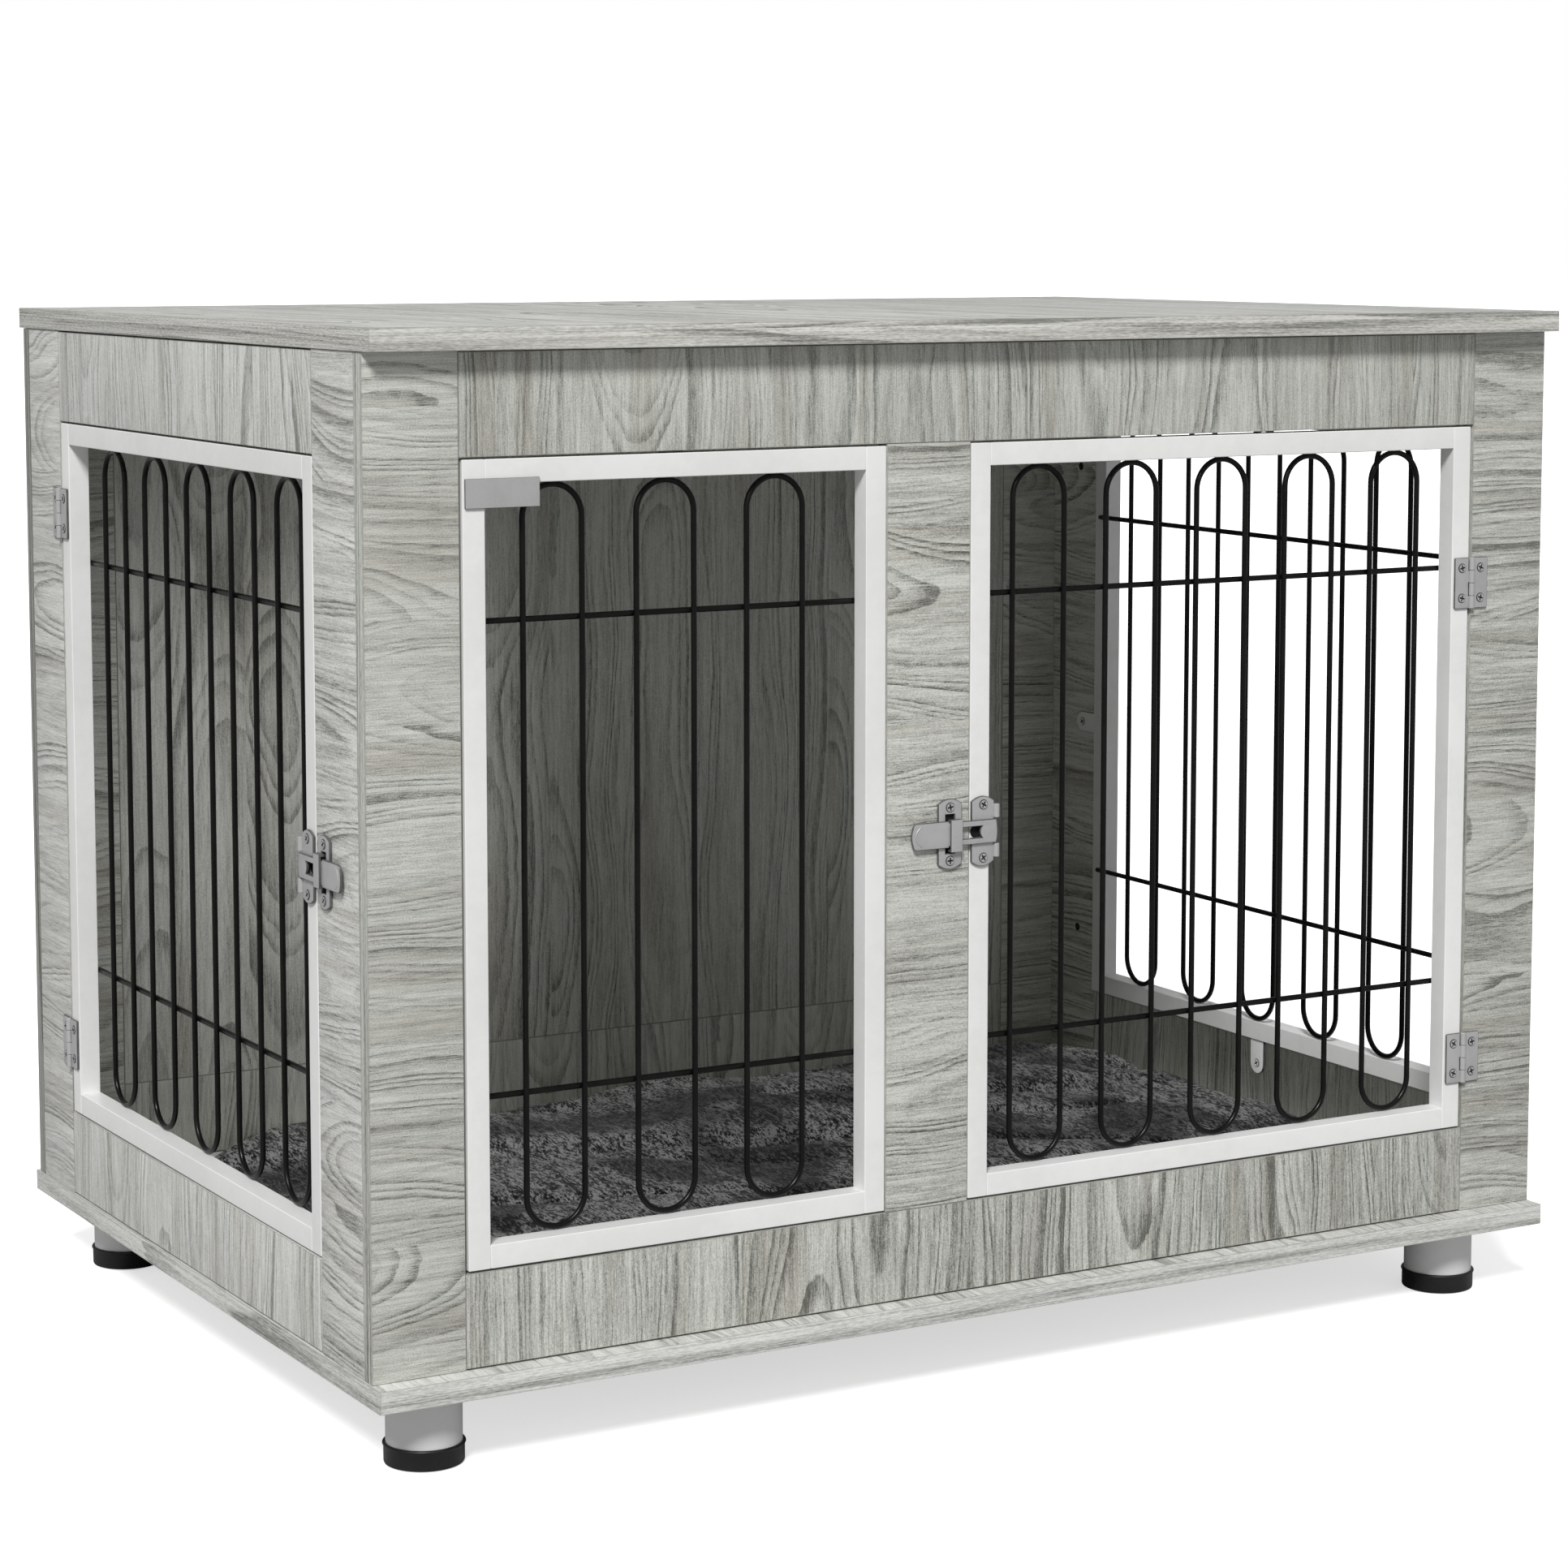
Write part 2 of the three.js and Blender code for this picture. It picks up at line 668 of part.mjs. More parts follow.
// A flat pad with round corners and edges, lying on the bottom board.
function cushion() {
  const inset = wallThickness + cushionSideGap + cushionEdgeRound;
  const halfX = sideFaceX - inset;
  const y0 = frontFaceY + wallThickness + cushionFrontGap + cushionEdgeRound;
  const y1 = backFaceY - wallThickness - cushionBackGap - cushionEdgeRound;
  const r = cushionCornerRadius - cushionEdgeRound;
  const outline = new THREE.Shape();
  outline.absarc(halfX - r, y0 + r, r, -Math.PI / 2, 0, false);
  outline.absarc(halfX - r, y1 - r, r, 0, Math.PI / 2, false);
  outline.absarc(r - halfX, y1 - r, r, Math.PI / 2, Math.PI, false);
  outline.absarc(r - halfX, y0 + r, r, Math.PI, 1.5 * Math.PI, false);
  outline.closePath();
  const pad = new THREE.ExtrudeGeometry(outline, {
    depth: cushionThickness - 2 * cushionEdgeRound,
    bevelThickness: cushionEdgeRound,
    bevelSize: cushionEdgeRound,
    bevelSegments: 3,
    curveSegments: 6,
  });
  pad.translate(0, 0, cushionEdgeRound);
  return piece('cushion', toGeometry(toSolid(pad)), 'plush', 0, 0, floorHeight + runGap);
}

const table = new THREE.Group();
table.position.x = (latchProjection - sideOverhang) / 2;
addBoards(table);
addFeet(table);
table.add(frontWall(), leftWall(), rightWall(), backWall());
table.add(cushion());

export default table;
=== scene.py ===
import json
import math
import random

import bmesh
import bpy
from mathutils import Matrix, Vector, noise

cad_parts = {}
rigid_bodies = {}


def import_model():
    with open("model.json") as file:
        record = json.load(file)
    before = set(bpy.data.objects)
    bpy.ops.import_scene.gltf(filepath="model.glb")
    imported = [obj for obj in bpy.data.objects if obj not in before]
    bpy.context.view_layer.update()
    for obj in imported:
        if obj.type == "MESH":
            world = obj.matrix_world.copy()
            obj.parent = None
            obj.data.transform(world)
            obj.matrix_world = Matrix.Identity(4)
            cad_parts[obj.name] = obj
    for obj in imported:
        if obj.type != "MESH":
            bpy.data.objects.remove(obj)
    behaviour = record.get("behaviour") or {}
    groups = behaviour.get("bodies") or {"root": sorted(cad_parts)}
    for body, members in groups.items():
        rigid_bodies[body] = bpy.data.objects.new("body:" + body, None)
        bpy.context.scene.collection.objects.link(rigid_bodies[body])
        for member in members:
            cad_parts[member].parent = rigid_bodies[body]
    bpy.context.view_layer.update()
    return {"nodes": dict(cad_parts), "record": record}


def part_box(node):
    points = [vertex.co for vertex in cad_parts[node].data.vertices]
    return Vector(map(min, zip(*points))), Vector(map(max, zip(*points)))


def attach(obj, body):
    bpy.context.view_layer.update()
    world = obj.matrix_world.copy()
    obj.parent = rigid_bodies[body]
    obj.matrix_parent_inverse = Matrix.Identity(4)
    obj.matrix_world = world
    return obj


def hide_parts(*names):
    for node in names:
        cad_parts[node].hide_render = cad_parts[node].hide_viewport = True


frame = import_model()
slotOf = {entry["node"]: entry["material_slot"] for entry in frame["record"]["subparts"]}
bodyOf = {node: body for body, nodes in frame["record"]["behaviour"]["bodies"].items() for node in nodes}
mm = 0.001
print("stage: frame loaded")


# meshes

def placeNew(name, data):
    made = bpy.data.objects.new(name, data)
    bpy.context.scene.collection.objects.link(made)
    return made


def meshOf(holder):
    return bpy.data.meshes.new_from_object(holder.evaluated_get(bpy.context.evaluated_depsgraph_get()))


def makeObject(name, mesh, materials, body, nodes=()):
    piece = placeNew(name, mesh)
    for material in materials:
        mesh.materials.append(material)
    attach(piece, body)
    if nodes:
        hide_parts(*nodes)
    return piece


def standFor(node, mesh, materials):
    return makeObject(f"{node}_look", mesh, materials, bodyOf[node], [node])


def meshFrom(bm, name, smoothAngle=32):
    bmesh.ops.recalc_face_normals(bm, faces=bm.faces)
    mesh = bpy.data.meshes.new(name)
    bm.to_mesh(mesh)
    bm.free()
    shadeByAngle(mesh, smoothAngle)
    return mesh


def shadeByAngle(mesh, angle):
    mesh.polygons.foreach_set("use_smooth", [True] * len(mesh.polygons))
    mesh.set_sharp_from_angle(angle=math.radians(angle))


# one mesh out of several, each with its own placement and material index
def joinMeshes(name, parts, smoothAngle=32):
    bm = bmesh.new()
    for mesh, matrix, materialIndex in parts:
        first = len(bm.faces)
        copy = mesh.copy()
        copy.transform(matrix)
        bm.from_mesh(copy)
        bpy.data.meshes.remove(copy)
        bm.faces.ensure_lookup_table()
        for face in bm.faces[first:]:
            face.material_index = materialIndex or face.material_index
    mesh = bpy.data.meshes.new(name)
    bm.to_mesh(mesh)
    bm.free()
    shadeByAngle(mesh, smoothAngle)
    return mesh


# faces that don't lie flat along z, or along the given axis, take the darker edge material: painted shade that
# draws dark outlines round the part
def markEdges(mesh, axis=2):
    for polygon in mesh.polygons:
        if abs(polygon.normal[axis]) < 0.97:
            polygon.material_index = 2
    return mesh


def at(x, y, z):
    return Matrix.Translation((x, y, z))


def turnBy(degrees, axis):
    return Matrix.Rotation(math.radians(degrees), 4, axis)


def moved(parts, place):
    return [(mesh, place @ matrix, slot) for mesh, matrix, slot in parts]


# faces between two rings of vertices, either of which may be a single point
def bridge(bm, lower, upper):
    for k in range(max(len(lower), len(upper))):
        corners = [lower[k % len(lower)], lower[(k + 1) % len(lower)],
                   upper[(k + 1) % len(upper)], upper[k % len(upper)]]
        bm.faces.new(list(dict.fromkeys(corners)))


def bevelBox(name, low, high, width, segments=2):
    bm = bmesh.new()
    bmesh.ops.create_cube(bm, size=1)
    size = [b - a for a, b in zip(low, high)]
    for vertex in bm.verts:
        vertex.co = Vector([a + (c + 0.5) * s for a, c, s in zip(low, vertex.co, size)])
    bmesh.ops.bevel(bm, geom=bm.edges[:], offset=width, segments=segments, profile=0.7, affect="EDGES")
    return meshFrom(bm, name, 50)


# a flat plate in the XY plane from closed outlines, the later ones being holes; edges rounded
def plateMesh(name, outlines, thickness, rounding):
    curve = bpy.data.curves.new(name, "CURVE")
    curve.dimensions = "2D"
    curve.fill_mode = "BOTH"
    curve.extrude = thickness / 2 - rounding
    curve.bevel_depth = rounding
    curve.offset = -rounding
    curve.bevel_resolution = 2
    for outline in outlines:
        spline = curve.splines.new("POLY")
        spline.points.add(len(outline) - 1)
        for point, (x, y) in zip(spline.points, outline):
            point.co = (x, y, 0, 1)
        spline.use_cyclic_u = True
    holder = placeNew(name, curve)
    mesh = meshOf(holder)
    bpy.data.objects.remove(holder)
    bpy.data.curves.remove(curve)
    bm = bmesh.new()
    bm.from_mesh(mesh)
    bmesh.ops.remove_doubles(bm, verts=bm.verts, dist=1e-6)
    bpy.data.meshes.remove(mesh)
    return markEdges(meshFrom(bm, name))


# a solid of revolution about z from (radius, z) pairs, from axis to axis or closed on itself
def latheMesh(name, profile, sides=48, angle=32):
    bm = bmesh.new()
    rings = []
    for radius, z in profile:
        if radius < 1e-7:
            rings.append([bm.verts.new((0, 0, z))])
            continue
        turns = [2 * math.pi * k / sides for k in range(sides)]
        rings.append([bm.verts.new((radius * math.cos(t), radius * math.sin(t), z)) for t in turns])
    for lower, upper in zip(rings, rings[1:]):
        bridge(bm, lower, upper)
    return meshFrom(bm, name, angle)


# a round wire along points; closed runs join up, open ones get domed ends
def wireMesh(name, points, radius, closed, sides=14):
    bm = bmesh.new()
    count = len(points)
    rings = []
    side = None
    for k, point in enumerate(points):
        before = points[(k - 1) % count] if closed or k else point
        after = points[(k + 1) % count] if closed or k < count - 1 else point
        along = (after - before).normalized()
        side = along.orthogonal() if side is None else side - along * side.dot(along)
        side.normalize()
        other = along.cross(side)
        ring = []
        for s in range(sides):
            turn = 2 * math.pi * s / sides
            ring.append(bm.verts.new(point + (side * math.cos(turn) + other * math.sin(turn)) * radius))
        rings.append(ring)
    pairs = list(zip(rings, rings[1:]))
    if closed:
        pairs.append((rings[-1], rings[0]))
    for first, second in pairs:
        bridge(bm, first, second)
    if not closed:
        ends = ((rings[0], points[0], points[1]), (rings[-1], points[-1], points[-2]))
        for ring, point, inner in ends:
            outward = (point - inner).normalized()
            dome = [bm.verts.new(point + (v.co - point) * 0.72 + outward * radius * 0.45) for v in ring]
            bridge(bm, ring, dome)
            bridge(bm, dome, [bm.verts.new(point + outward * radius * 0.6)])
    return meshFrom(bm, name, 60)


# shader tools

def feed(tree, node, values):
    for key, value in values.items():
        if isinstance(value, bpy.types.NodeSocket):
            tree.links.new(value, node.inputs[key])
        else:
            node.inputs[key].default_value = value


def put(tree, kind, values=None, **settings):
    made = tree.nodes.new(kind)
    for key, value in settings.items():
        setattr(made, key, value)
    feed(tree, made, values or {})
    return made


def calc(tree, operation, a, b=0.5):
    return put(tree, "ShaderNodeMath", {0: a, 1: b}, operation=operation).outputs[0]


def times(tree, a, b):
    return calc(tree, "MULTIPLY", a, b)


def plus(tree, a, b):
    return calc(tree, "ADD", a, b)


def swing(tree, value, reach):  # a 0 to 1 value swung about zero
    return times(tree, calc(tree, "SUBTRACT", value, 0.5), reach)


def ease(tree, value, fromMin, fromMax, toMin=0.0, toMax=1.0):
    values = {"Value": value, "From Min": fromMin, "From Max": fromMax, "To Min": toMin, "To Max": toMax}
    return put(tree, "ShaderNodeMapRange", values, interpolation_type="SMOOTHSTEP").outputs["Result"]


def noiseOf(tree, vector, scale=1.0, detail=2.0, roughness=0.5):
    values = {"Vector": vector, "Scale": scale, "Detail": detail, "Roughness": roughness}
    return put(tree, "ShaderNodeTexNoise", values).outputs["Fac"]


def vectorOf(tree, x, y, z=0.0):
    return put(tree, "ShaderNodeCombineXYZ", {"X": x, "Y": y, "Z": z}).outputs[0]


def mixColour(tree, factor, a, b):
    return put(tree, "ShaderNodeMix", {"Factor": factor, 6: a, 7: b}, data_type="RGBA").outputs[2]


def newGroup(name, inputs, outputs):
    tree = bpy.data.node_groups.new(name, "ShaderNodeTree")
    for label, value in inputs.items():
        kind = "Vector" if value is None else "Float" if isinstance(value, float) else "Color"
        socket = tree.interface.new_socket(label, in_out="INPUT", socket_type=f"NodeSocket{kind}")
        if value is not None:
            socket.default_value = value
    for label, kind in outputs.items():
        tree.interface.new_socket(label, in_out="OUTPUT", socket_type=f"NodeSocket{kind}")
    return tree, put(tree, "NodeGroupInput").outputs, put(tree, "NodeGroupOutput")


def linear(red, green, blue):
    tones = []
    for value in (red, green, blue):
        share = value / 255
        tones.append(share / 12.92 if share <= 0.04045 else ((share + 0.055) / 1.055) ** 2.4)
    return (*tones, 1.0)


def newMaterial(name):
    material = bpy.data.materials.new(name)
    material.use_nodes = True
    tree = material.node_tree
    return material, tree, tree.nodes["Principled BSDF"]


def bumpInto(tree, shader, height, distance, strength=1.0):
    bump = put(tree, "ShaderNodeBump", {"Height": height, "Distance": distance, "Strength": strength})
    feed(tree, shader, {"Normal": bump.outputs["Normal"]})


def useGroup(tree, group, values):
    return put(tree, "ShaderNodeGroup", values, node_tree=group).outputs


# printed wood grain: narrow staves side by side, each with its own arches, streaks and pores
figure = {"swayReach": 0.042, "heartDepth": 0.12, "heartSpread": 1.9, "unevenRate": 1.9, "unevenReach": 0.42,
          "lineEnd": 0.93, "lineSharpness": 2.6, "heartFade": (0.009, 0.032), "lineWeight": 0.62,
          "ground": 0.2, "fineReach": 0.85, "hairReach": 0.75, "gritReach": 1.3, "bandReach": 0.5,
          "staveReach": 0.12}


def buildGrainGroup():
    tree, given, result = newGroup("laminateGrain", {
        "Grain": None, "Stave Width": 0.066, "Ring Spacing": 0.0055, "Ring Strength": 0.8, "Streaks": 0.5,
        "Pores": 0.5, "Warmth": 0.25, "Shade": 0.0, "Light Tone": linear(212, 214, 206),
        "Dark Tone": linear(124, 125, 117), "Warm Tone": linear(188, 176, 160),
    }, {"Color": "Color", "Roughness": "Float", "Height": "Float"})
    parts = put(tree, "ShaderNodeSeparateXYZ", {0: given["Grain"]}).outputs
    along, across, seed = parts[0], parts[1], parts[2]
    place = plus(tree, calc(tree, "DIVIDE", across, given["Stave Width"]), times(tree, seed, 3.17))
    stave = calc(tree, "FLOOR", place)
    local = calc(tree, "SUBTRACT", calc(tree, "FRACT", place), 0.5)
    dice = put(tree, "ShaderNodeTexWhiteNoise", {"Vector": vectorOf(tree, stave, seed, 0.37)})
    rolls = put(tree, "ShaderNodeSeparateColor", {0: dice.outputs["Color"]}).outputs
    shift = plus(tree, along, times(tree, rolls[0], 7.0))

    def field(alongRate, acrossRate, layer, detail=2.0, roughness=0.5):
        spot = vectorOf(tree, times(tree, shift, alongRate), times(tree, across, acrossRate),
                        plus(tree, seed, layer))
        return noiseOf(tree, spot, 1.0, detail, roughness)

    # distance from a heart line that dives and sways gives the rings, so they close into arches
    dive = noiseOf(tree, vectorOf(tree, times(tree, shift, 2.6), times(tree, stave, 9.1), seed), detail=1.0)
    off = times(tree, plus(tree, local, swing(tree, rolls[1], figure["heartSpread"])), given["Stave Width"])
    off = plus(tree, off, swing(tree, field(5.0, 11.0, 0.0, 1.0), figure["swayReach"]))
    depth = times(tree, calc(tree, "SUBTRACT", dive, times(tree, rolls[2], 0.5)), figure["heartDepth"])
    radius = calc(tree, "SQRT", plus(tree, times(tree, off, off), times(tree, depth, depth)))
    ring = calc(tree, "DIVIDE", radius, given["Ring Spacing"])
    ring = plus(tree, ring, swing(tree, field(30.0, 70.0, 2.0, 3.0, 0.55), 0.5))
    uneven = calc(tree, "SINE", times(tree, ring, figure["unevenRate"]))
    ring = plus(tree, ring, times(tree, uneven, figure["unevenReach"]))
    phase = calc(tree, "FRACT", ring)
    spot = vectorOf(tree, calc(tree, "FLOOR", ring), stave, seed)
    ringDice = put(tree, "ShaderNodeTexWhiteNoise", {"Vector": spot}).outputs["Value"]
    line = calc(tree, "POWER", ease(tree, phase, 0.0, figure["lineEnd"]), figure["lineSharpness"])
    line = times(tree, line, ease(tree, phase, figure["lineEnd"], 1.0, 1.0, 0.0))
    line = times(tree, line, ease(tree, ringDice, 0.0, 1.0, 0.35, 1.0))
    line = times(tree, line, ease(tree, field(7.0, 26.0, 4.0, 1.0), 0.3, 0.62, 0.45, 1.0))
    line = times(tree, line, ease(tree, radius, *figure["heartFade"]))
    line = times(tree, line, given["Ring Strength"])

    broad = field(2.6, 38.0, 9.0, 2.0)
    pits = ease(tree, field(120.0, 1400.0, 1.0, 2.0, 0.6), 0.46, 0.72)
    pore = times(tree, times(tree, pits, plus(tree, line, 0.25)), given["Pores"])
    streak = plus(tree, swing(tree, field(50.0, 1250.0, 0.0, 3.0, 0.7), figure["fineReach"]),
                  swing(tree, field(11.0, 300.0, 6.0, 3.0, 0.65), figure["hairReach"]))
    streak = plus(tree, streak, swing(tree, field(900.0, 1500.0, 3.0, 3.0, 0.7), figure["gritReach"]))
    streak = times(tree, streak, given["Streaks"])
    dark = plus(tree, plus(tree, times(tree, line, figure["lineWeight"]), pore), figure["ground"])
    dark = plus(tree, plus(tree, dark, streak), swing(tree, broad, figure["bandReach"]))
    dark = plus(tree, dark, swing(tree, rolls[2], figure["staveReach"]))
    dark = put(tree, "ShaderNodeClamp", {0: plus(tree, dark, given["Shade"])}).outputs[0]
    hue = times(tree, ease(tree, broad, 0.5, 0.72), given["Warmth"])
    base = mixColour(tree, hue, given["Light Tone"], given["Warm Tone"])
    sunk = plus(tree, times(tree, line, 0.6), pore)
    feed(tree, result, {"Color": mixColour(tree, dark, base, given["Dark Tone"]),
                        "Roughness": plus(tree, times(tree, dark, 0.18), 0.40),
                        "Height": calc(tree, "SUBTRACT", 1.0, sunk)})
    return tree


# faint handling marks and dust: uneven tone and gloss on plain finishes
def buildWearGroup():
    tree, given, result = newGroup("handledSurface", {
        "Clean": (0.8, 0.8, 0.8, 1), "Dusty": (0.6, 0.6, 0.6, 1), "Patch Size": 0.06, "Amount": 0.2,
        "Gloss Low": 0.3, "Gloss High": 0.5,
    }, {"Color": "Color", "Roughness": "Float"})
    where = put(tree, "ShaderNodeTexCoord").outputs["Object"]
    size = calc(tree, "DIVIDE", 1.0, given["Patch Size"])
    large = noiseOf(tree, where, size, 3.0, 0.55)
    small = noiseOf(tree, where, times(tree, size, 11.0), 3.0, 0.6)
    mask = ease(tree, plus(tree, times(tree, large, 0.7), times(tree, small, 0.3)), 0.38, 0.66)
    colour = mixColour(tree, times(tree, mask, given["Amount"]), given["Clean"], given["Dusty"])
    gloss = {"Value": mask, "To Min": given["Gloss Low"], "To Max": given["Gloss High"]}
    rough = put(tree, "ShaderNodeMapRange", gloss).outputs["Result"]
    feed(tree, result, {"Color": colour, "Roughness": rough})
    return tree


grainGroup = buildGrainGroup()
wearGroup = buildWearGroup()

laminate = {
    "stave": 0.066, "ringSpacing": 0.0052, "rings": 1.0, "streaks": 1.35, "pores": 0.6, "warmth": 0.45,
    "light": (212, 214, 206), "dark": (92, 92, 86), "warm": (186, 174, 158), "rim": (150, 151, 144),
    "rimShare": 0.45, "bump": 0.0001,
}
paintedLightLifts = {"front": 0.1, "back": 0.1, "left": 0.9, "right": 0.3, "boards": 0.85}  # paler where higher; painted light: each wall and the boards get their own lit copy of one laminate, the left side and the boards palest


def makeWood(name, lift):
    material, tree, shader = newMaterial(f"laminate_{name}")
    grain, rim, shade = [put(tree, "ShaderNodeAttribute", attribute_name=label).outputs[output]
                         for label, output in (("grain", "Vector"), ("rim", "Fac"), ("shade", "Fac"))]

    # the lift pales the laminate tones for this wall, painting in light
    def lighten(tone, share):
        return linear(*[v + (255 - v) * lift * share for v in tone])

    outputs = useGroup(tree, grainGroup, {
        "Grain": grain, "Stave Width": laminate["stave"], "Ring Spacing": laminate["ringSpacing"],
        "Ring Strength": laminate["rings"], "Streaks": laminate["streaks"], "Pores": laminate["pores"],
        "Warmth": laminate["warmth"], "Shade": shade, "Light Tone": lighten(laminate["light"], 0.5),
        "Dark Tone": lighten(laminate["dark"], 0.14), "Warm Tone": lighten(laminate["warm"], 0.42)})
    # the rounded edge faces are mixed toward the darker rim tone
    rimMix = times(tree, rim, laminate["rimShare"])
    edge = mixColour(tree, rimMix, outputs["Color"], linear(*laminate["rim"]))
    feed(tree, shader, {"Base Color": edge, "Roughness": outputs["Roughness"]})
    bumpInto(tree, shader, outputs["Height"], laminate["bump"], 0.6)
    return material


whitePaint = {"clean": (238, 238, 237), "dusty": (222, 222, 219), "patch": 0.09, "amount": 0.5,
              "gloss": (0.34, 0.46)}
wirePaint = {"clean": (9, 9, 8), "dusty": (20, 20, 19), "patch": 0.03, "amount": 0.5, "gloss": (0.24, 0.4)}
plating = {"clean": (190, 190, 190), "dusty": (172, 172, 171), "patch": 0.02, "amount": 0.5,
           "gloss": (0.36, 0.5)}
# paler than the plating on the other hardware: painted light that offsets the shadow under the bottom board
litFootPlating = {"clean": (236, 236, 236), "dusty": (226, 226, 226), "patch": 0.05, "amount": 0.5,
               "gloss": (0.5, 0.62)}
capPlastic = {"clean": (16, 16, 16), "dusty": (36, 36, 36), "patch": 0.02, "amount": 0.5, "gloss": (0.4, 0.6)}
# painted shade for the rounded edges of plates, leaves, tabs and screw heads, drawn as dark outlines
edgeShadeMetal = {"clean": (104, 104, 104), "dusty": (70, 70, 70), "patch": 0.01, "amount": 0.7, "gloss": (0.4, 0.6)}
# near-black fill for painted shade in screw recesses, latch windows and keeper holes; the connector discs use
# it too
recess = {"clean": (34, 34, 34), "dusty": (18, 18, 18), "patch": 0.004, "amount": 0.6, "gloss": (0.6, 0.8)}


def makeFinish(name, look, bumpScale=900.0, bumpDepth=0.00002, metallic=0.0, specular=0.5, brushed=None):
    material, tree, shader = newMaterial(name)
    outputs = useGroup(tree, wearGroup, {
        "Clean": linear(*look["clean"]), "Dusty": linear(*look["dusty"]), "Patch Size": look["patch"],
        "Amount": look["amount"], "Gloss Low": look["gloss"][0], "Gloss High": look["gloss"][1]})
    feed(tree, shader, {"Base Color": outputs["Color"], "Roughness": outputs["Roughness"],
                        "Metallic": metallic, "Specular IOR Level": specular})
    where = put(tree, "ShaderNodeTexCoord").outputs["Object"]
    if brushed:
        where = put(tree, "ShaderNodeMapping", {"Vector": where, "Scale": brushed}).outputs[0]
    bumpInto(tree, shader, noiseOf(tree, where, bumpScale, 2.0), bumpDepth, 0.5)
    return material


woodsLitPerWall = {name: makeWood(name, lift) for name, lift in paintedLightLifts.items()}
white = makeFinish("whitePowderCoat", whitePaint, 1400.0)
black = makeFinish("blackPowderCoat", wirePaint, 1600.0, specular=0.22)
steel = makeFinish("satinPlate", plating, 700.0, 0.00001, metallic=0.35, brushed=(1, 1, 6))
footSteel = makeFinish("satinTube", litFootPlating, 500.0, 0.00001, metallic=0.1, brushed=(6, 6, 0.3))
plastic = makeFinish("blackPlastic", capPlastic, bumpDepth=0.00004)
edgeShadeSteel = makeFinish("paintedEdgeShade", edgeShadeMetal, metallic=0.3)
recessDark = makeFinish("screwRecess", recess, specular=0.2)
metalSet = [steel, recessDark, edgeShadeSteel]
print("stage: materials made")


# wood boards

boardEdge = {"round": 0.0006, "segments": 2, "stretch": 0.22}
boardShades = {"front_right_stile": 0.10, "front_top_rail": 0.05, "front_bottom_rail": 0.13,
               "left_back_stile": 0.08}


# which way the printed grain runs on each face of a board, by the face's own axis
def grainAxes(node):
    if node in ("top_board", "bottom_board"):
        return {0: 1, 1: 0, 2: 1}
    faceAxis = 1 if node.startswith(("front", "back")) else 0
    widthAxis = 1 - faceAxis
    if node.endswith("stile"):
        return {faceAxis: widthAxis, widthAxis: 2, 2: widthAxis}
    return {faceAxis: 2, widthAxis: 2, 2: widthAxis}


def makeBoard(node, index):
    low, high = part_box(node)
    mesh = bevelBox(f"{node}_board", low, high, boardEdge["round"], boardEdge["segments"])
    kinds = {"grain": "FLOAT_VECTOR", "rim": "FLOAT", "shade": "FLOAT"}
    for label, kind in kinds.items():
        mesh.attributes.new(label, kind, "CORNER")
    grain, rim, shade = [mesh.attributes[label] for label in kinds]
    axes = grainAxes(node)
    for polygon in mesh.polygons:
        sizes = [abs(c) for c in polygon.normal]
        faceAxis = sizes.index(max(sizes))
        alongAxis = axes[faceAxis]
        acrossAxis = 3 - faceAxis - alongAxis
        isRim = 1.0 if max(sizes) < 0.999 else 0.0
        isEdge = high[acrossAxis] - low[acrossAxis] < 0.02
        stretch = boardEdge["stretch"] if isEdge else 1.0
        for loop in polygon.loop_indices:
            place = mesh.vertices[mesh.loops[loop].vertex_index].co
            seed = index * 1.37 + faceAxis * 0.31
            grain.data[loop].vector = (place[alongAxis] * stretch, place[acrossAxis], seed)
            rim.data[loop].value = isRim
            shade.data[loop].value = boardShades.get(node, 0.0)
    side = node.split("_")[0]
    material = woodsLitPerWall[side if side in woodsLitPerWall else "boards"]
    standFor(node, mesh, [material])


woodNodes = [node for node, slot in slotOf.items() if slot == "wood_laminate"]
for index, node in enumerate(woodNodes):
    makeBoard(node, index)
print("stage: boards made")


# walls seen from outside: x to the right, z up, y inward, outer face on y = 0

def wallMatrix(node, cornerX, cornerY, turn):
    low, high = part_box(node)
    x = (low, high)[cornerX].x
    y = (low, high)[cornerY].y
    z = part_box("bottom_board")[1].z
    return at(x, y, z) @ turnBy(turn, "Z")


walls = {
    "front": wallMatrix("front_left_stile", 0, 0, 0),
    "left": wallMatrix("left_back_stile", 0, 1, -90),
    "right": wallMatrix("right_front_stile", 1, 0, 90),
}
upright = turnBy(90, "X")  # lays a plate drawn in x and y upright, facing outward


def localBox(node, wall):
    inverse = walls[wall].inverted()
    corners = [inverse @ Vector(corner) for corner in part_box(node)]
    low = Vector([min(a, b) for a, b in zip(*corners)])
    high = Vector([max(a, b) for a, b in zip(*corners)])
    return low, high


def arc(cx, cy, radius, start, stop, steps):
    turns = [math.radians(start + (stop - start) * k / steps) for k in range(steps + 1)]
    return [(cx + radius * math.cos(t), cy + radius * math.sin(t)) for t in turns]


def bow(x0, y0, cx, cy, x1, y1, steps=10):
    points = []
    for k in range(steps + 1):
        t = k / steps
        points.append(((1 - t) ** 2 * x0 + 2 * t * (1 - t) * cx + t * t * x1,
                       (1 - t) ** 2 * y0 + 2 * t * (1 - t) * cy + t * t * y1))
    return points


def scaled(outline):
    return [(x * mm, y * mm) for x, y in outline]


# a cross-recessed screw head lying in the XY plane, its top towards +z
screw = {"radius": 3.1, "height": 0.75, "arm": 2.1, "slot": 0.8, "rounding": 0.22, "shadowLine": 0.35,
         "sides": 28, "lift": 0.3}


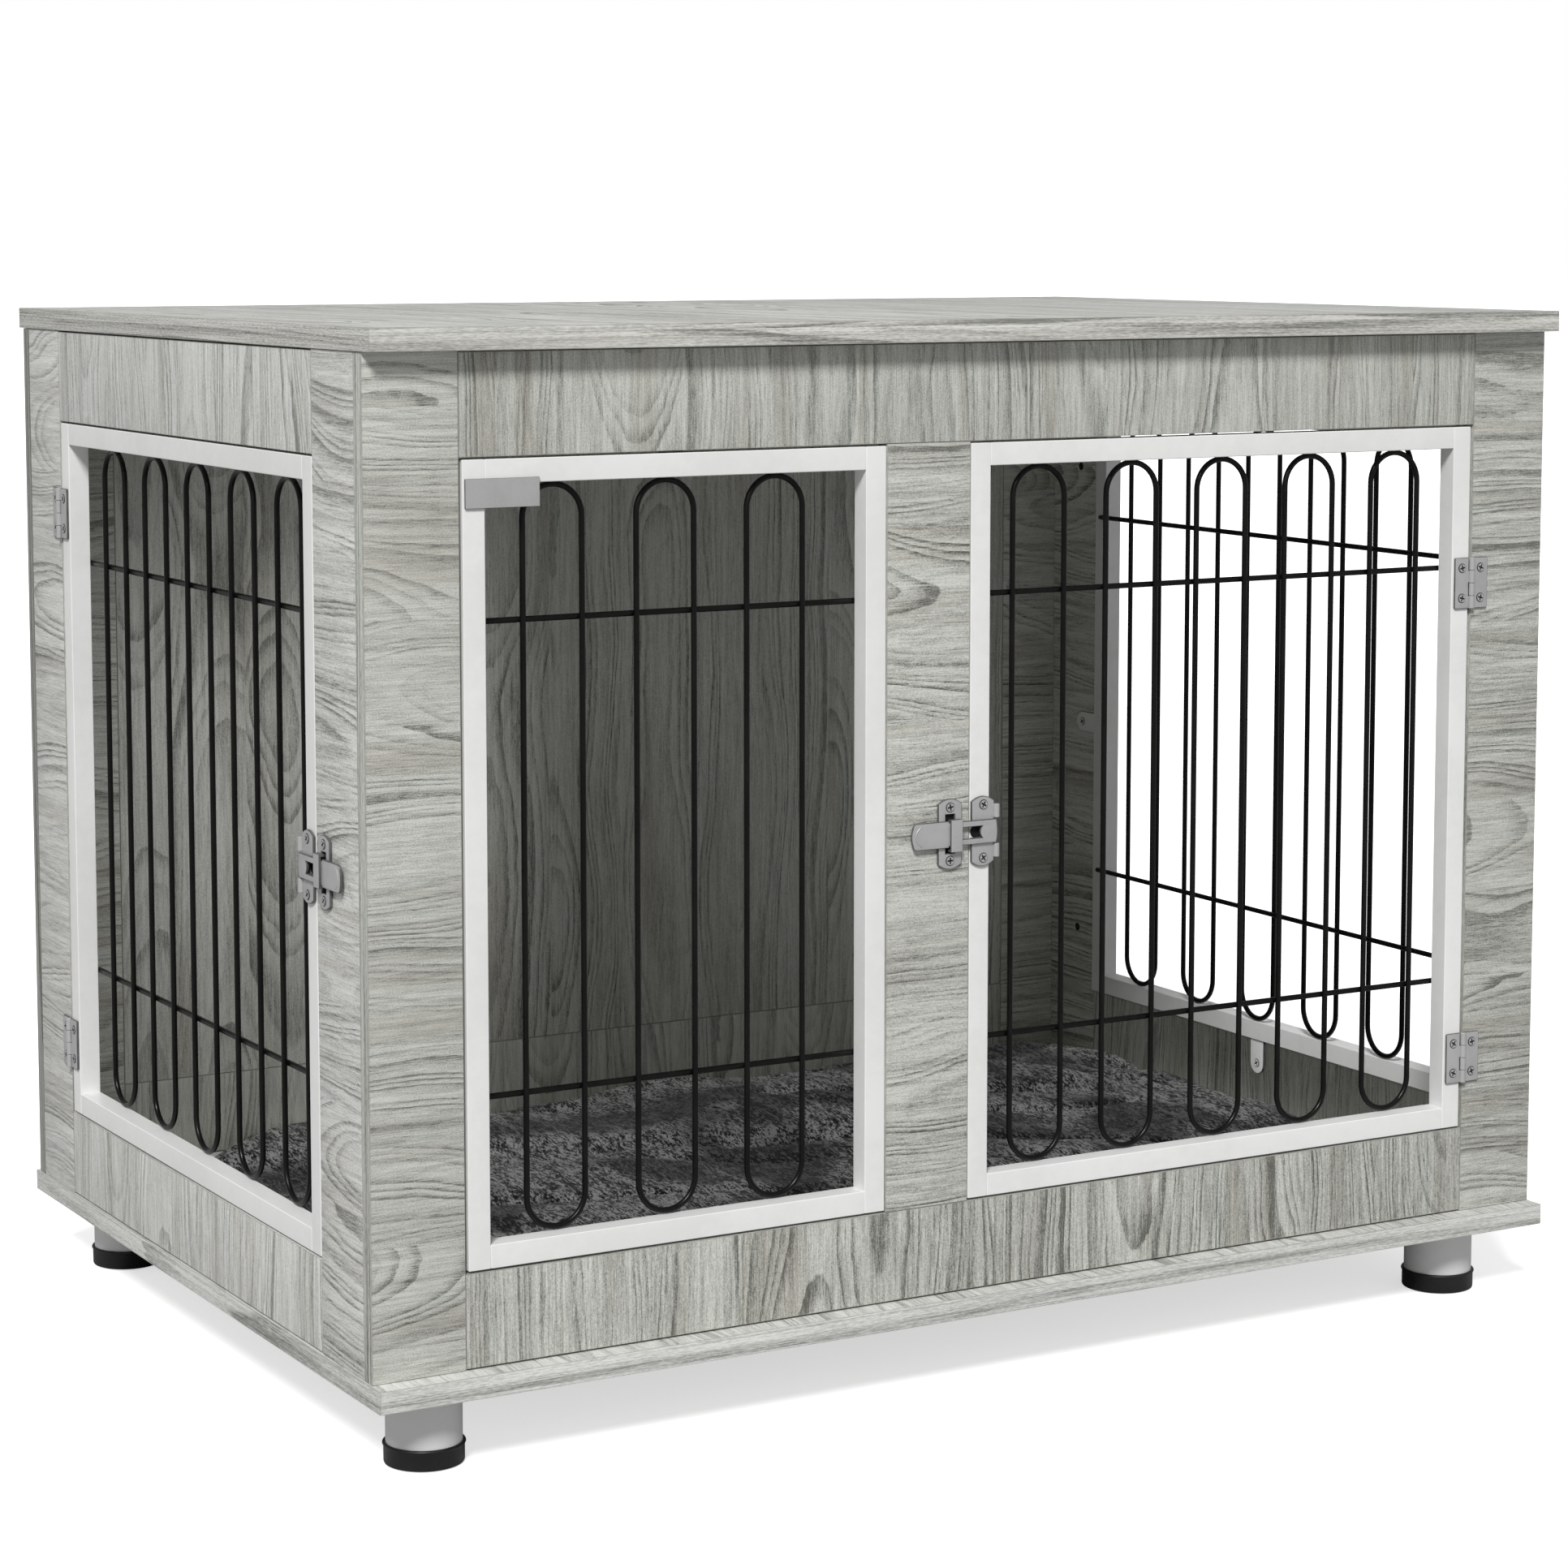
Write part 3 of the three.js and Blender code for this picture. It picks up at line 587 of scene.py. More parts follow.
def screwMeshes():
    a, w = screw["arm"], screw["slot"] / 2
    cross = [(a, -w), (a, w), (w, w), (w, a), (-w, a), (-w, w),
             (-a, w), (-a, -w), (-w, -w), (-w, -a), (w, -a), (w, -w)]
    rim = arc(0, 0, screw["radius"], 0, 360 - 360 / screw["sides"], screw["sides"] - 1)
    head = plateMesh("screwHead", [scaled(rim), scaled(cross)], screw["height"] * mm, screw["rounding"] * mm)
    # a near-black disc under the head: painted shade in the cross recess, and where it reaches past the head a
    # painted shadow ring
    reach = (screw["radius"] + screw["shadowLine"]) * mm
    disc = [(0, 0), (reach, 0), (reach, 0.06 * mm), (0, 0.06 * mm)]
    floor = latheMesh("screwShadeDisc", disc, screw["sides"])
    return head, floor


screwHead, screwShadeDisc = screwMeshes()


# the two parts of a screw whose head rises from y = face, turned a little about its own axis
def screwParts(x, z, face, turn):
    lift = screw["height"] * mm * screw["lift"]
    place = at(x, face, z) @ upright @ turnBy(turn, "Z")
    return [(screwHead, place @ at(0, 0, lift), 0), (screwShadeDisc, place, 1)]


# tube frames

tube = {"width": 15.5 * mm, "depth": 15.5 * mm, "round": 1.1 * mm, "seam": 0.12 * mm}
weld = {"half": 2 * mm, "inset": 0.25 * mm, "round": 0.9 * mm}
tab = {"width": 17.5 * mm, "reach": 28 * mm, "thickness": 1.8 * mm, "drop": 25 * mm, "gap": 0.3 * mm,
       "wall": 12 * mm, "round": 0.4 * mm, "screwTurn": math.degrees(0.5)}


def tabParts(x, z, turn):
    half = tab["width"] / 2
    outline = [(-tube["width"] * 0.5, -half)]
    outline += arc(tab["reach"] - half, 0, half, -90, 90, 14)
    outline += [(-tube["width"] * 0.5, half)]
    plate = plateMesh("tabPlate", [outline], tab["thickness"], tab["round"])
    face = tab["wall"] + tab["gap"] + tab["thickness"] / 2
    spin = at(x, face, z) @ turnBy(-turn, "Y")
    head = spin @ at(tab["reach"] - half, tab["thickness"] / 2, 0) @ turnBy(180, "Z")
    return [(plate, spin @ upright, 0)] + moved(screwParts(0, 0, 0, tab["screwTurn"]), head)


def makeFrame(node, wall, hasTabs):
    low, high = localBox(node, wall)
    if hasTabs:
        reach = Vector((tab["reach"], 0, tab["reach"]))
        low, high = low + reach, high - reach
    w, depth, seam, inset = tube["width"], tube["depth"], tube["seam"], weld["inset"]
    bars = [
        ((low.x, 0, low.z), (low.x + w, depth, high.z)),
        ((high.x - w, 0, low.z), (high.x, depth, high.z)),
        ((low.x + w + seam, 0, high.z - w), (high.x - w - seam, depth, high.z)),
        ((low.x + w + seam, 0, low.z), (high.x - w - seam, depth, low.z + w)),
    ]
    parts = [(bevelBox("bar", a, b, tube["round"], 3), walls[wall], 0) for a, b in bars]
    for x in (low.x + w, high.x - w):
        for z in (low.z, high.z - w):  # the joint's weld, just under the surface
            joint = bevelBox("weld", (x - weld["half"], inset, z + inset),
                             (x + weld["half"], depth - inset, z + w - inset), weld["round"], 2)
            parts.append((joint, walls[wall], 0))
    if hasTabs:
        midX, midZ = (low.x + high.x) / 2, (low.z + high.z) / 2
        for x, z, turn in ((high.x, midZ - tab["drop"], 0), (low.x, midZ - tab["drop"], 180),
                           (midX, high.z, 90), (midX, low.z, -90)):
            parts += moved(tabParts(x, z, turn), walls[wall])
    standFor(node, joinMeshes(node, parts), [white, recessDark, edgeShadeSteel])
    return low, high


# grilles

wire = {"radius": 2.0 * mm, "span": 42 * mm, "gap": 0.3 * mm, "bite": 0.7 * mm}
crossWires = {"topDrop": 88 * mm, "bottomRise": 92 * mm, "lap": 6 * mm}
grilles = {
    "front_fixed": {"wall": "front", "count": 3, "margin": 34.5 * mm, "shift": -4 * mm, "tabs": True},
    "front_door": {"wall": "front", "count": 5, "margin": 22.5 * mm, "shift": 2.5 * mm, "tabs": False},
    "side_door": {"wall": "left", "count": 5, "margin": 34.5 * mm, "shift": 0.0, "tabs": False},
    "right_fixed": {"wall": "right", "count": 5, "margin": 34.5 * mm, "shift": 0.0, "tabs": True},
}


def loopPoints(x, y, low, high):
    radius = wire["span"] / 2
    points = []
    for cz, start in ((high - radius - wire["radius"], 0), (low + radius + wire["radius"], 180)):
        for px, pz in arc(x, cz, radius, start, start + 180, 22):
            points.append(Vector((px, y, pz)))
    return points


def makeGrille(name, look, low, high):
    w, r = tube["width"], wire["radius"]
    innerLow, innerHigh = low.x + w, high.x - w
    crossY = tube["depth"] + wire["gap"] + r
    loopY = crossY - 2 * r + wire["bite"]
    bottom, top = low.z + w + wire["gap"], high.z - w - wire["gap"]
    first = innerLow + look["margin"] + r + wire["span"] / 2
    last = innerHigh - look["margin"] - r - wire["span"] / 2
    parts = []
    count, wall = look["count"], walls[look["wall"]]
    centres = [first + (last - first) * k / (count - 1) + look["shift"] for k in range(count)]
    for x in centres:
        parts.append((wireMesh("loop", loopPoints(x, loopY, bottom, top), r, True), wall, 0))
    dotProfile = scaled([(0, -1.5), (1.3, -1.1), (1.7, 0), (1.3, 1.1), (0, 1.5)])
    weldDot = latheMesh("weldDot", dotProfile, 10, 70)
    for z in (top + wire["gap"] - crossWires["topDrop"], bottom - wire["gap"] + crossWires["bottomRise"]):
        ends = (innerLow - crossWires["lap"] + r * 0.6, innerHigh + crossWires["lap"] - r * 0.6)
        steps = [Vector((ends[0] + (ends[1] - ends[0]) * k / 24, crossY, z)) for k in range(25)]
        parts.append((wireMesh("crossWire", steps, r, False), wall, 0))
        for x in centres:
            for side in (-1, 1):
                parts.append((weldDot, wall @ at(x + side * wire["span"] / 2, crossY - r * 0.9, z), 0))
    node = f"{name}_grille"
    standFor(node, joinMeshes(node, parts, 60), [black])


for name, look in grilles.items():
    low, high = makeFrame(f"{name}_frame", look["wall"], look["tabs"])
    makeGrille(name, look, low, high)
print("stage: frames and grilles made")


# butt hinges

hinge = {"height": 37 * mm, "reach": 15 * mm, "thickness": 1.5 * mm, "knuckle": 2.2 * mm, "seat": 0.25 * mm,
         "run": 0.3 * mm, "screwEdge": 6.5 * mm, "screwInset": 7.5 * mm, "round": 0.35 * mm,
         "corner": 0.6 * mm, "bore": 1.25 * mm, "pin": 1.1 * mm}


# a leaf right of the pin, which is on x = 0, with its first and third knuckles from the top
def leafParts(seed):
    h, r, end, run = hinge["height"], hinge["corner"], hinge["reach"], hinge["run"]
    step = h / 4
    edge = hinge["knuckle"] + run
    spans = [(h - k * step - (run / 2 if k else 0), h - (k + 1) * step + run / 2) for k in (0, 2)]
    outline = [(edge, 0), (end - r, 0), (end, r), (end, h - r), (end - r, h)]
    for index, (top, bottom) in enumerate(spans):
        if index:
            outline += [(edge, top)]
        outline += [(hinge["knuckle"] * 0.3, top), (hinge["knuckle"] * 0.3, bottom), (edge, bottom)]
    mid = -(hinge["seat"] + hinge["thickness"] / 2)
    plate = plateMesh("leafPlate", [outline], hinge["thickness"], hinge["round"])
    parts = [(plate, at(0, mid, 0) @ upright, 0)]
    axisY = -(hinge["seat"] + hinge["knuckle"])
    r0, r1, c = hinge["bore"], hinge["knuckle"], 0.3 * mm
    for top, bottom in spans:
        profile = [(r0, bottom), (r1 - c, bottom), (r1, bottom + c), (r1, top - c), (r1 - c, top), (r0, top),
                   (r0, bottom)]
        barrel = latheMesh("barrel", profile, 24, 40)
        parts.append((barrel, at(0, axisY, 0), 0))
    dice = random.Random(seed)
    for z in (hinge["screwInset"], h - hinge["screwInset"]):
        face = -(hinge["seat"] + hinge["thickness"])
        parts += screwParts(end - hinge["screwEdge"], z, face, dice.uniform(0, 90))
    return parts


def pinMesh():
    h, r, c = hinge["height"], hinge["pin"], 0.25 * mm
    return latheMesh("pin", [(0, 0), (r - c, 0), (r, c), (r, h - c), (r - c, h), (0, h)], 20, 40)


halfTurn = turnBy(180, "Y")


def makeHinge(prefix, wall, turnedOver, seed):
    low, high = localBox(f"{prefix}_pin", wall)
    x = (low.x + high.x) / 2
    place = walls[wall] @ at(x, 0, high.z if turnedOver else low.z)
    if turnedOver:
        place = place @ halfTurn
    stile = moved(leafParts(seed), place)
    door = moved(leafParts(seed + 1), place @ at(0, 0, hinge["height"]) @ halfTurn)
    pin = [(pinMesh(), place @ at(0, -(hinge["seat"] + hinge["knuckle"]), 0), 0)]
    for node, parts in (("stile_leaf", stile), ("door_leaf", door), ("pin", pin)):
        node = f"{prefix}_{node}"
        standFor(node, joinMeshes(node, parts), metalSet)


doors = (("front_door", "front", False), ("side_door", "left", True))  # name, wall, hung the other way up
for number, (door, wall, turnedOver) in enumerate(doors):
    for level, height in enumerate(("upper", "lower")):
        makeHinge(f"{door}_{height}_hinge", wall, turnedOver, 10 * number + 4 * level)
print("stage: hinges made")


# slide latches, drawn in millimetres with the door right of x = 0 and the stile left of it

latch = {"plateHeight": 48, "bulge": 3.4, "thickness": 2.0, "seat": 0.25, "run": 0.3, "screwInset": 5.8,
         "stileX": (-25.6, -7.0), "doorX": (0.8, 18.8), "strapX": (-17.8, -8.6), "strapHeight": 22,
         "strapThickness": 1.6, "strapDrop": 1.0, "windowTop": 13.4, "windowBottom": 13.2,
         "boltThickness": 1.8, "boltHeight": 16.2, "boltReach": 20.4, "thumb": 29.8, "thumbHeight": 18.2,
         "eyeHeight": 8, "curlRadius": 2.2, "curlHeight": 9.2, "curlSpacing": 27, "windowHalf": 3.6,
         "round": 0.45, "seeds": {"front_door": 31, "side_door": 47}}


def platedOutline(x0, x1, notch=None):
    half, bulge = latch["plateHeight"] / 2, latch["bulge"]
    middle = (x0 + x1) / 2
    points = bow(x0, bulge - half, middle, -bulge - half, x1, bulge - half, 14)
    points += bow(x1, half - bulge, middle, half + bulge, x0, half - bulge, 14)
    if notch:
        end, high = notch
        points += [(x0, high)]
        points += bow(end, high, end - 2.6, 0, end, -high, 8)
        points += [(x0, -high)]
    return points


def raised(thickness, back):
    return at(0, -(back + thickness / 2) * mm, 0) @ upright


def smallBox(name, low, high, width, segments):
    return bevelBox(name, [c * mm for c in low], [c * mm for c in high], width * mm, segments)


def stilePlateParts(dice):
    x0, x1 = latch["stileX"]
    sx0, sx1 = latch["strapX"]
    middle = (x0 + x1) / 2
    top, bottom = latch["windowTop"], -latch["windowBottom"]
    side = latch["windowHalf"]
    window = [(middle - side, bottom), (middle + side, bottom), (middle + side, top), (middle - side, top)]
    outline = platedOutline(x0, x1)
    plate = plateMesh("stilePlate", [scaled(outline), scaled(window)], latch["thickness"] * mm,
                      latch["round"] * mm)
    parts = [(plate, raised(latch["thickness"], latch["seat"]), 0)]
    side += 0.3  # the dark sheet of painted shade in the window reaches a little under the plate
    windowShade = smallBox("windowShadeSheet", (middle - side, -0.12, bottom - 0.3), (middle + side, -0.04, top + 0.3),
                    0.02, 1)
    parts.append((windowShade, Matrix.Identity(4), 1))
    front = latch["seat"] + latch["thickness"]
    over = front + 2 * latch["run"] + latch["boltThickness"]
    half = latch["strapHeight"] / 2
    drop, sheet = latch["strapDrop"], latch["strapThickness"]
    bits = [smallBox("strap", (sx0, -over - sheet, -half - drop), (sx1, -over, half - drop), 0.5, 3)]
    for z0 in (-half - drop, half - drop - sheet):
        bits.append(smallBox("strapLeg", (sx0, -over - 0.3, z0), (sx1, 0.3 - front, z0 + sheet), 0.3, 2))
    parts += [(markEdges(bit, 1), Matrix.Identity(4), 0) for bit in bits]
    reach = latch["plateHeight"] / 2 - latch["screwInset"]
    for z in (-reach, reach):
        parts += screwParts(middle * mm, z * mm, -front * mm, dice.uniform(0, 90))
    return parts


def boltParts():
    shoulder = latch["strapX"][0] - latch["run"]
    end = shoulder - latch["thumb"]
    half, thumb, reach = latch["boltHeight"] / 2, latch["thumbHeight"] / 2, latch["boltReach"]
    outline = bow(reach - 1, -half, reach + 1, 0, reach - 1, half, 8)
    outline += [(shoulder + 1.2, half)]
    outline += bow(shoulder, half, shoulder, thumb, shoulder - 0.8, thumb, 4)
    outline += bow(end + 4.6, thumb, end + 1.6, thumb, end + 1.1, thumb - 3.4, 6)
    outline += bow(end + 0.9, thumb - 4, end - 0.9, 0, end + 0.9, 4 - thumb, 10)
    outline += bow(end + 1.1, 3.4 - thumb, end + 1.6, -thumb, end + 4.6, -thumb, 6)
    outline += bow(shoulder - 0.8, -thumb, shoulder, -thumb, shoulder, -half, 4)
    outline += [(shoulder + 1.2, -half)]
    eye0, eye1, eh = latch["strapX"][1] + latch["run"], reach - 12.2, latch["eyeHeight"] / 2
    eye = [(eye0, -eh)] + bow(eye1, -eh, eye1 - 3.4, 0, eye1, eh, 10) + [(eye0, eh)]
    back = latch["seat"] + latch["thickness"] + latch["run"]
    plate = plateMesh("boltPlate", [scaled(outline), scaled(eye)], latch["boltThickness"] * mm,
                      latch["round"] * mm)
    parts = [(plate, raised(latch["boltThickness"], back), 0)]
    # a low pressed ridge round the end of the thumb piece
    face = -(back + latch["boltThickness"] - 0.05) * mm
    rows = arc(end + 10.5, 0, 7.0, 112, 248, 22)
    ridge = [Vector((x * mm, face, y * mm)) for x, y in rows]
    parts.append((wireMesh("thumbRidge", ridge, 0.42 * mm, False, 10), Matrix.Identity(4), 0))
    return parts


def doorPlateParts(dice):
    x0, x1 = latch["doorX"]
    outline = platedOutline(x0, x1, (x0 + 10.1, latch["eyeHeight"] / 2))
    plate = plateMesh("doorPlate", [scaled(outline)], latch["thickness"] * mm, latch["round"] * mm)
    parts = [(plate, raised(latch["thickness"], latch["seat"]), 0)]
    r, half = latch["curlRadius"], latch["curlHeight"] / 2
    for z in (-latch["curlSpacing"] / 2, latch["curlSpacing"] / 2):
        profile = [(0.7, -half), (r - 0.3, -half), (r, 0.3 - half), (r, half - 0.3), (r - 0.3, half),
                   (0.7, half), (0.7, -half)]
        curl = latheMesh("curl", scaled(profile), 24, 40)
        parts.append((curl, at((x1 + r - 0.5) * mm, -(latch["seat"] + r) * mm, z * mm), 0))
    reach = latch["plateHeight"] / 2 - latch["screwInset"]
    front = latch["seat"] + latch["thickness"]
    for z in (-reach, reach):
        parts += screwParts(((x0 + x1) / 2 + 0.5) * mm, z * mm, -front * mm, dice.uniform(0, 90))
    return parts


def makeLatch(prefix, wall, turnedOver):
    low, high = localBox(f"{prefix}_latch_door_plate", wall)
    z = (low.z + high.z) / 2
    x = high.x + latch["doorX"][0] * mm if turnedOver else low.x - latch["doorX"][0] * mm
    place = walls[wall] @ at(x, 0, z)
    if turnedOver:
        place = place @ halfTurn
    dice = random.Random(latch["seeds"][prefix])
    for key, parts in (("stile_plate", stilePlateParts(dice)), ("bolt", boltParts()),
                       ("door_plate", doorPlateParts(dice))):
        node = f"{prefix}_latch_{key}"
        standFor(node, joinMeshes(node, moved(parts, place)), metalSet)


for door in doors:
    makeLatch(*door)

plateLow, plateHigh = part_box("name_plate")
standFor("name_plate", markEdges(bevelBox("namePlate", plateLow, plateHigh, 0.35 * mm, 3), 1), metalSet)
print("stage: latches made")


# keeper hole in the free bar of each door, behind the bolt's eye, drawn as a thin dark disc on the bar:
# painted shade for the hole

keeper = {"radius": 4.3, "offset": 5.0, "lip": 0.5}


def makeKeeper(prefix, wall, turnedOver):
    low, high = localBox(f"{prefix}_latch_door_plate", wall)
    x = high.x - keeper["offset"] * mm if turnedOver else low.x + keeper["offset"] * mm
    z = (low.z + high.z) / 2
    r, lip = keeper["radius"], keeper["lip"]
    profile = [(0, 0), (r, 0), (r + lip, 0.12), (r + lip, 0.2), (r - 0.2, 0.2), (r - lip, 0.08), (0, 0.08)]
    cup = latheMesh("keeper", scaled(profile), 28, 50)
    cup.transform(walls[wall] @ at(x, 0.05 * mm, z) @ upright)
    makeObject(f"{prefix}_keeper_hole", cup, [recessDark], prefix)


for door in doors:
    makeKeeper(*door)


# feet

foot = {"radius": 25, "wall": 1.5, "round": 0.5, "capWall": 1.0, "capRun": 0.3, "capHeight": 14, "ridge": 0.8,
        "ridgeHeight": 2.4, "sides": 96}


def makeFoot(place):
    low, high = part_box(f"{place}_foot_tube")
    middle = (low + high) / 2
    r, c = foot["radius"] * mm, foot["round"] * mm
    inner = r - foot["wall"] * mm
    shaft = [(0, high.z - 3 * mm), (inner, high.z - 3 * mm), (inner, low.z), (r - c, low.z), (r, low.z + c),
             (r, low.z + 8 * mm), (r, high.z - 8 * mm), (r, high.z), (0, high.z)]
    inside = (foot["radius"] + foot["capRun"]) * mm
    outer = inside + foot["capWall"] * mm
    rim = outer + foot["ridge"] * mm
    top, ridge = foot["capHeight"] * mm, foot["ridgeHeight"] * mm
    cap = [(0, 0), (outer - 1.2 * mm, 0), (outer - 0.35 * mm, 0.35 * mm), (outer, 1.2 * mm),
           (outer, top - ridge - 0.2 * mm)]
    for k in range(1, 8):
        cap.append((outer + (rim - outer) * math.sin(math.pi * k / 8), top - ridge + ridge * k / 8))
    cap += [(outer, top), (inside + 0.1 * mm, top), (inside, top - 0.3 * mm), (inside, 3 * mm), (0, 3 * mm)]
    for part, profile, angle, material in (("tube", shaft, 32, footSteel), ("cap", cap, 50, plastic)):
        mesh = latheMesh(f"foot_{part}", profile, foot["sides"], angle)
        mesh.transform(at(middle.x, middle.y, 0))
        standFor(f"{place}_foot_{part}", mesh, [material])


for place in ("front_left", "front_right", "back_left", "back_right"):
    makeFoot(place)
print("stage: feet made")


# joint connectors seen as small dark discs on the inner faces

connector = {"radius": 3.4, "proud": 0.35, "up": 0.115, "down": 0.13, "inset": 0.026}


def makeConnector(name, x, y, z, inward):
    r, p = connector["radius"] * mm, connector["proud"] * mm
    profile = [(0, 0.15 * mm), (1.0 * mm, 0.15 * mm), (1.3 * mm, p * 0.8), (r - 0.6 * mm, p), (r, p * 0.3),
               (r, -0.2 * mm), (0, -0.2 * mm)]
    disc = latheMesh("connector", profile, 24, 60)
    turn = Vector((0, 0, 1)).rotation_difference(Vector(inward)).to_matrix().to_4x4()
    disc.transform(at(x, y, z) @ turn)
    makeObject(name, disc, [recessDark], "cabinet")


for side, inward in (("right", (-1, 0, 0)), ("left", (1, 0, 0))):
    low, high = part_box(f"{side}_back_stile")
    x = low.x if side == "right" else high.x
    for index, z in enumerate((low.z + connector["up"], high.z - connector["down"])):
        makeConnector(f"{side}_connector_{index}", x, low.y + connector["inset"], z, inward)


# cushion

pad = {"inset": 0.013, "crown": 0.010, "voxel": 0.006, "cap": 0.009, "lump": 0.020, "crease": 0.011,
       "creaseHalf": 0.16, "nap": 0.0011, "napRate": 190, "rearReach": 0.16, "rearFall": 0.016,
       "sides": 120, "levels": 7, "clear": 0.001, "thickShare": 0.62, "squareness": 9, "waist": 0.07,
       "pullIn": 0.025, "trim": 0.012, "rise": 0.009, "frames": 20}
hollows = ((0.085, 0.05, 0.013), (0.18, 0.05, -0.007), (-0.03, 0.05, -0.008))  # along the back: x, width, fall
clothSettings = {"use_pressure": True, "uniform_pressure_force": 4.0, "quality": 5, "tension_stiffness": 25,
                 "compression_stiffness": 25, "bending_stiffness": 0.6}
plushFigure = {"tuft": 620.0, "clump": 140.0, "nap": 10.0, "tuftShare": 0.72, "laid": (0.42, 0.56),
               "root": (0.43, 0.50), "tip": (0.49, 0.545), "bump": 0.0016}
# the fabric's mottled grey nap, with painted shade in the near-black roots, and in the tips both the fur's own
# pale ends and painted sheen
plushTones = {"rootShade": (9, 9, 10), "laid": (40, 40, 42), "laidTipSheen": (142, 142, 145), "raised": (150, 150, 152),
              "raisedTipSheen": (255, 255, 255)}


def padShape(low, high):
    bm = bmesh.new()
    size, middle = high - low, (high + low) / 2
    half = Vector((size.x / 2 - pad["inset"], size.y / 2 - pad["inset"], 0))
    sides, levels = pad["sides"], pad["levels"]
    rings = []
    thick, power = size.z * pad["thickShare"], pad["squareness"]
    for level in range(levels):
        share = level / (levels - 1)
        bulge = math.sin(math.pi * share)
        shrink = 1 - pad["waist"] + pad["waist"] * bulge
        z = low.z + pad["clear"] + thick * share
        ring = []
        for k in range(sides):
            turn = 2 * math.pi * k / sides
            c, s = math.cos(turn), math.sin(turn)
            reach = (abs(c) ** power + abs(s) ** power) ** (-1 / power)
            pull = 1 - pad["pullIn"] * math.cos(4 * turn + math.pi) - pad["trim"]
            ring.append(bm.verts.new((middle.x + c * reach * half.x * shrink * pull,
                                      middle.y + s * reach * half.y * shrink * pull, z)))
        rings.append(ring)
    for lower, upper in zip(rings, rings[1:]):
        bridge(bm, lower, upper)
    bm.faces.new(list(reversed(rings[0])))
    bm.faces.new(rings[-1])
    bmesh.ops.triangulate(bm, faces=[f for f in bm.faces if len(f.verts) > 4])
    return meshFrom(bm, "padShape")


def applyModifiers(piece):
    mesh = meshOf(piece)
    piece.modifiers.clear()
    piece.data = mesh


def swell(piece):
    before = [v.co.copy() for v in piece.data.vertices]
    cloth = piece.modifiers.new("cloth", "CLOTH")
    for key, value in clothSettings.items():
        setattr(cloth.settings, key, value)
    cloth.settings.effector_weights.gravity = 0
    cloth.collision_settings.use_self_collision = False
    scene = bpy.context.scene
    for step in range(1, pad["frames"] + 1):
        scene.frame_set(step)
    swollen = meshOf(piece)
    piece.modifiers.clear()
    for vertex, start, end in zip(piece.data.vertices, before, swollen.vertices):
        step = end.co - start
        if step.length > pad["cap"]:
            step = step.normalized() * pad["cap"]
        vertex.co = start + step
    scene.frame_set(1)


# soft lumps and long creases pressed into the top, the sides left alone
def crumple(mesh, low, high):
    size, middle = high - low, (high + low) / 2
    for vertex in mesh.vertices:
        p = vertex.co
        share = max(0.0, min(1.0, (p.z - low.z) / size.z))
        edge = max(abs(p.x - middle.x) / (size.x / 2), abs(p.y - middle.y) / (size.y / 2))
        crown = pad["crown"] * (1 - edge ** 3)
        lump = noise.noise(Vector((p.x * 6.5, p.y * 7.5, 3.1))) * pad["lump"]
        fold = noise.noise(Vector((p.x * 5 + p.y * 9, p.y * 3 - p.x * 2, 7.7)))
        crease = -max(0.0, pad["creaseHalf"] - abs(fold)) / pad["creaseHalf"] * pad["crease"]
        nap = noise.fractal(p * pad["napRate"], 0.6, 2.1, 3) * pad["nap"]
        rear = max(0.0, min(1.0, (p.y - high.y + pad["rearReach"]) / pad["rearReach"])) ** 1.5
        hollow = sum(math.exp(-((p.x - x) / width) ** 2) * fall for x, width, fall in hollows)
        crown -= rear * (pad["rearFall"] + hollow)
        p.z += (crown + lump + crease) * share + nap * min(1.0, share * 3)
        p.z = max(p.z, low.z + 0.0003)
        p.z = min(p.z, high.z + pad["rise"])


def makePlush():
    material, tree, shader = newMaterial("plush")
    where = put(tree, "ShaderNodeTexCoord").outputs["Object"]

    def turned(angle, scale):
        values = {"Vector": where, "Rotation": (0, 0, angle), "Scale": (1, scale, 1)}
        return put(tree, "ShaderNodeMapping", values).outputs[0]

    lean, drift = turned(0.12, 0.24), turned(0.3, 0.8)
    tones = {name: linear(*tone) for name, tone in plushTones.items()}
    tuft = noiseOf(tree, lean, plushFigure["tuft"], 3.0, 0.7)
    clump = noiseOf(tree, lean, plushFigure["clump"], 2.0, 0.5)
    nap = ease(tree, noiseOf(tree, drift, plushFigure["nap"], 2.0, 0.55), *plushFigure["laid"])
    share = plushFigure["tuftShare"]
    value = plus(tree, times(tree, tuft, share), times(tree, clump, 1 - share))
    # roots darken toward painted shade and tips brighten toward the pale ends and painted sheen
    root = ease(tree, value, *plushFigure["root"])
    tip = ease(tree, value, *plushFigure["tip"])
    brushed = mixColour(tree, nap, tones["laid"], tones["raised"])
    ends = mixColour(tree, nap, tones["laidTipSheen"], tones["raisedTipSheen"])
    colour = mixColour(tree, tip, mixColour(tree, root, tones["rootShade"], brushed), ends)
    feed(tree, shader, {"Base Color": colour, "Roughness": 0.9, "Sheen Weight": 0.3, "Sheen Roughness": 0.5})
    bumpInto(tree, shader, value, plushFigure["bump"])
    return material


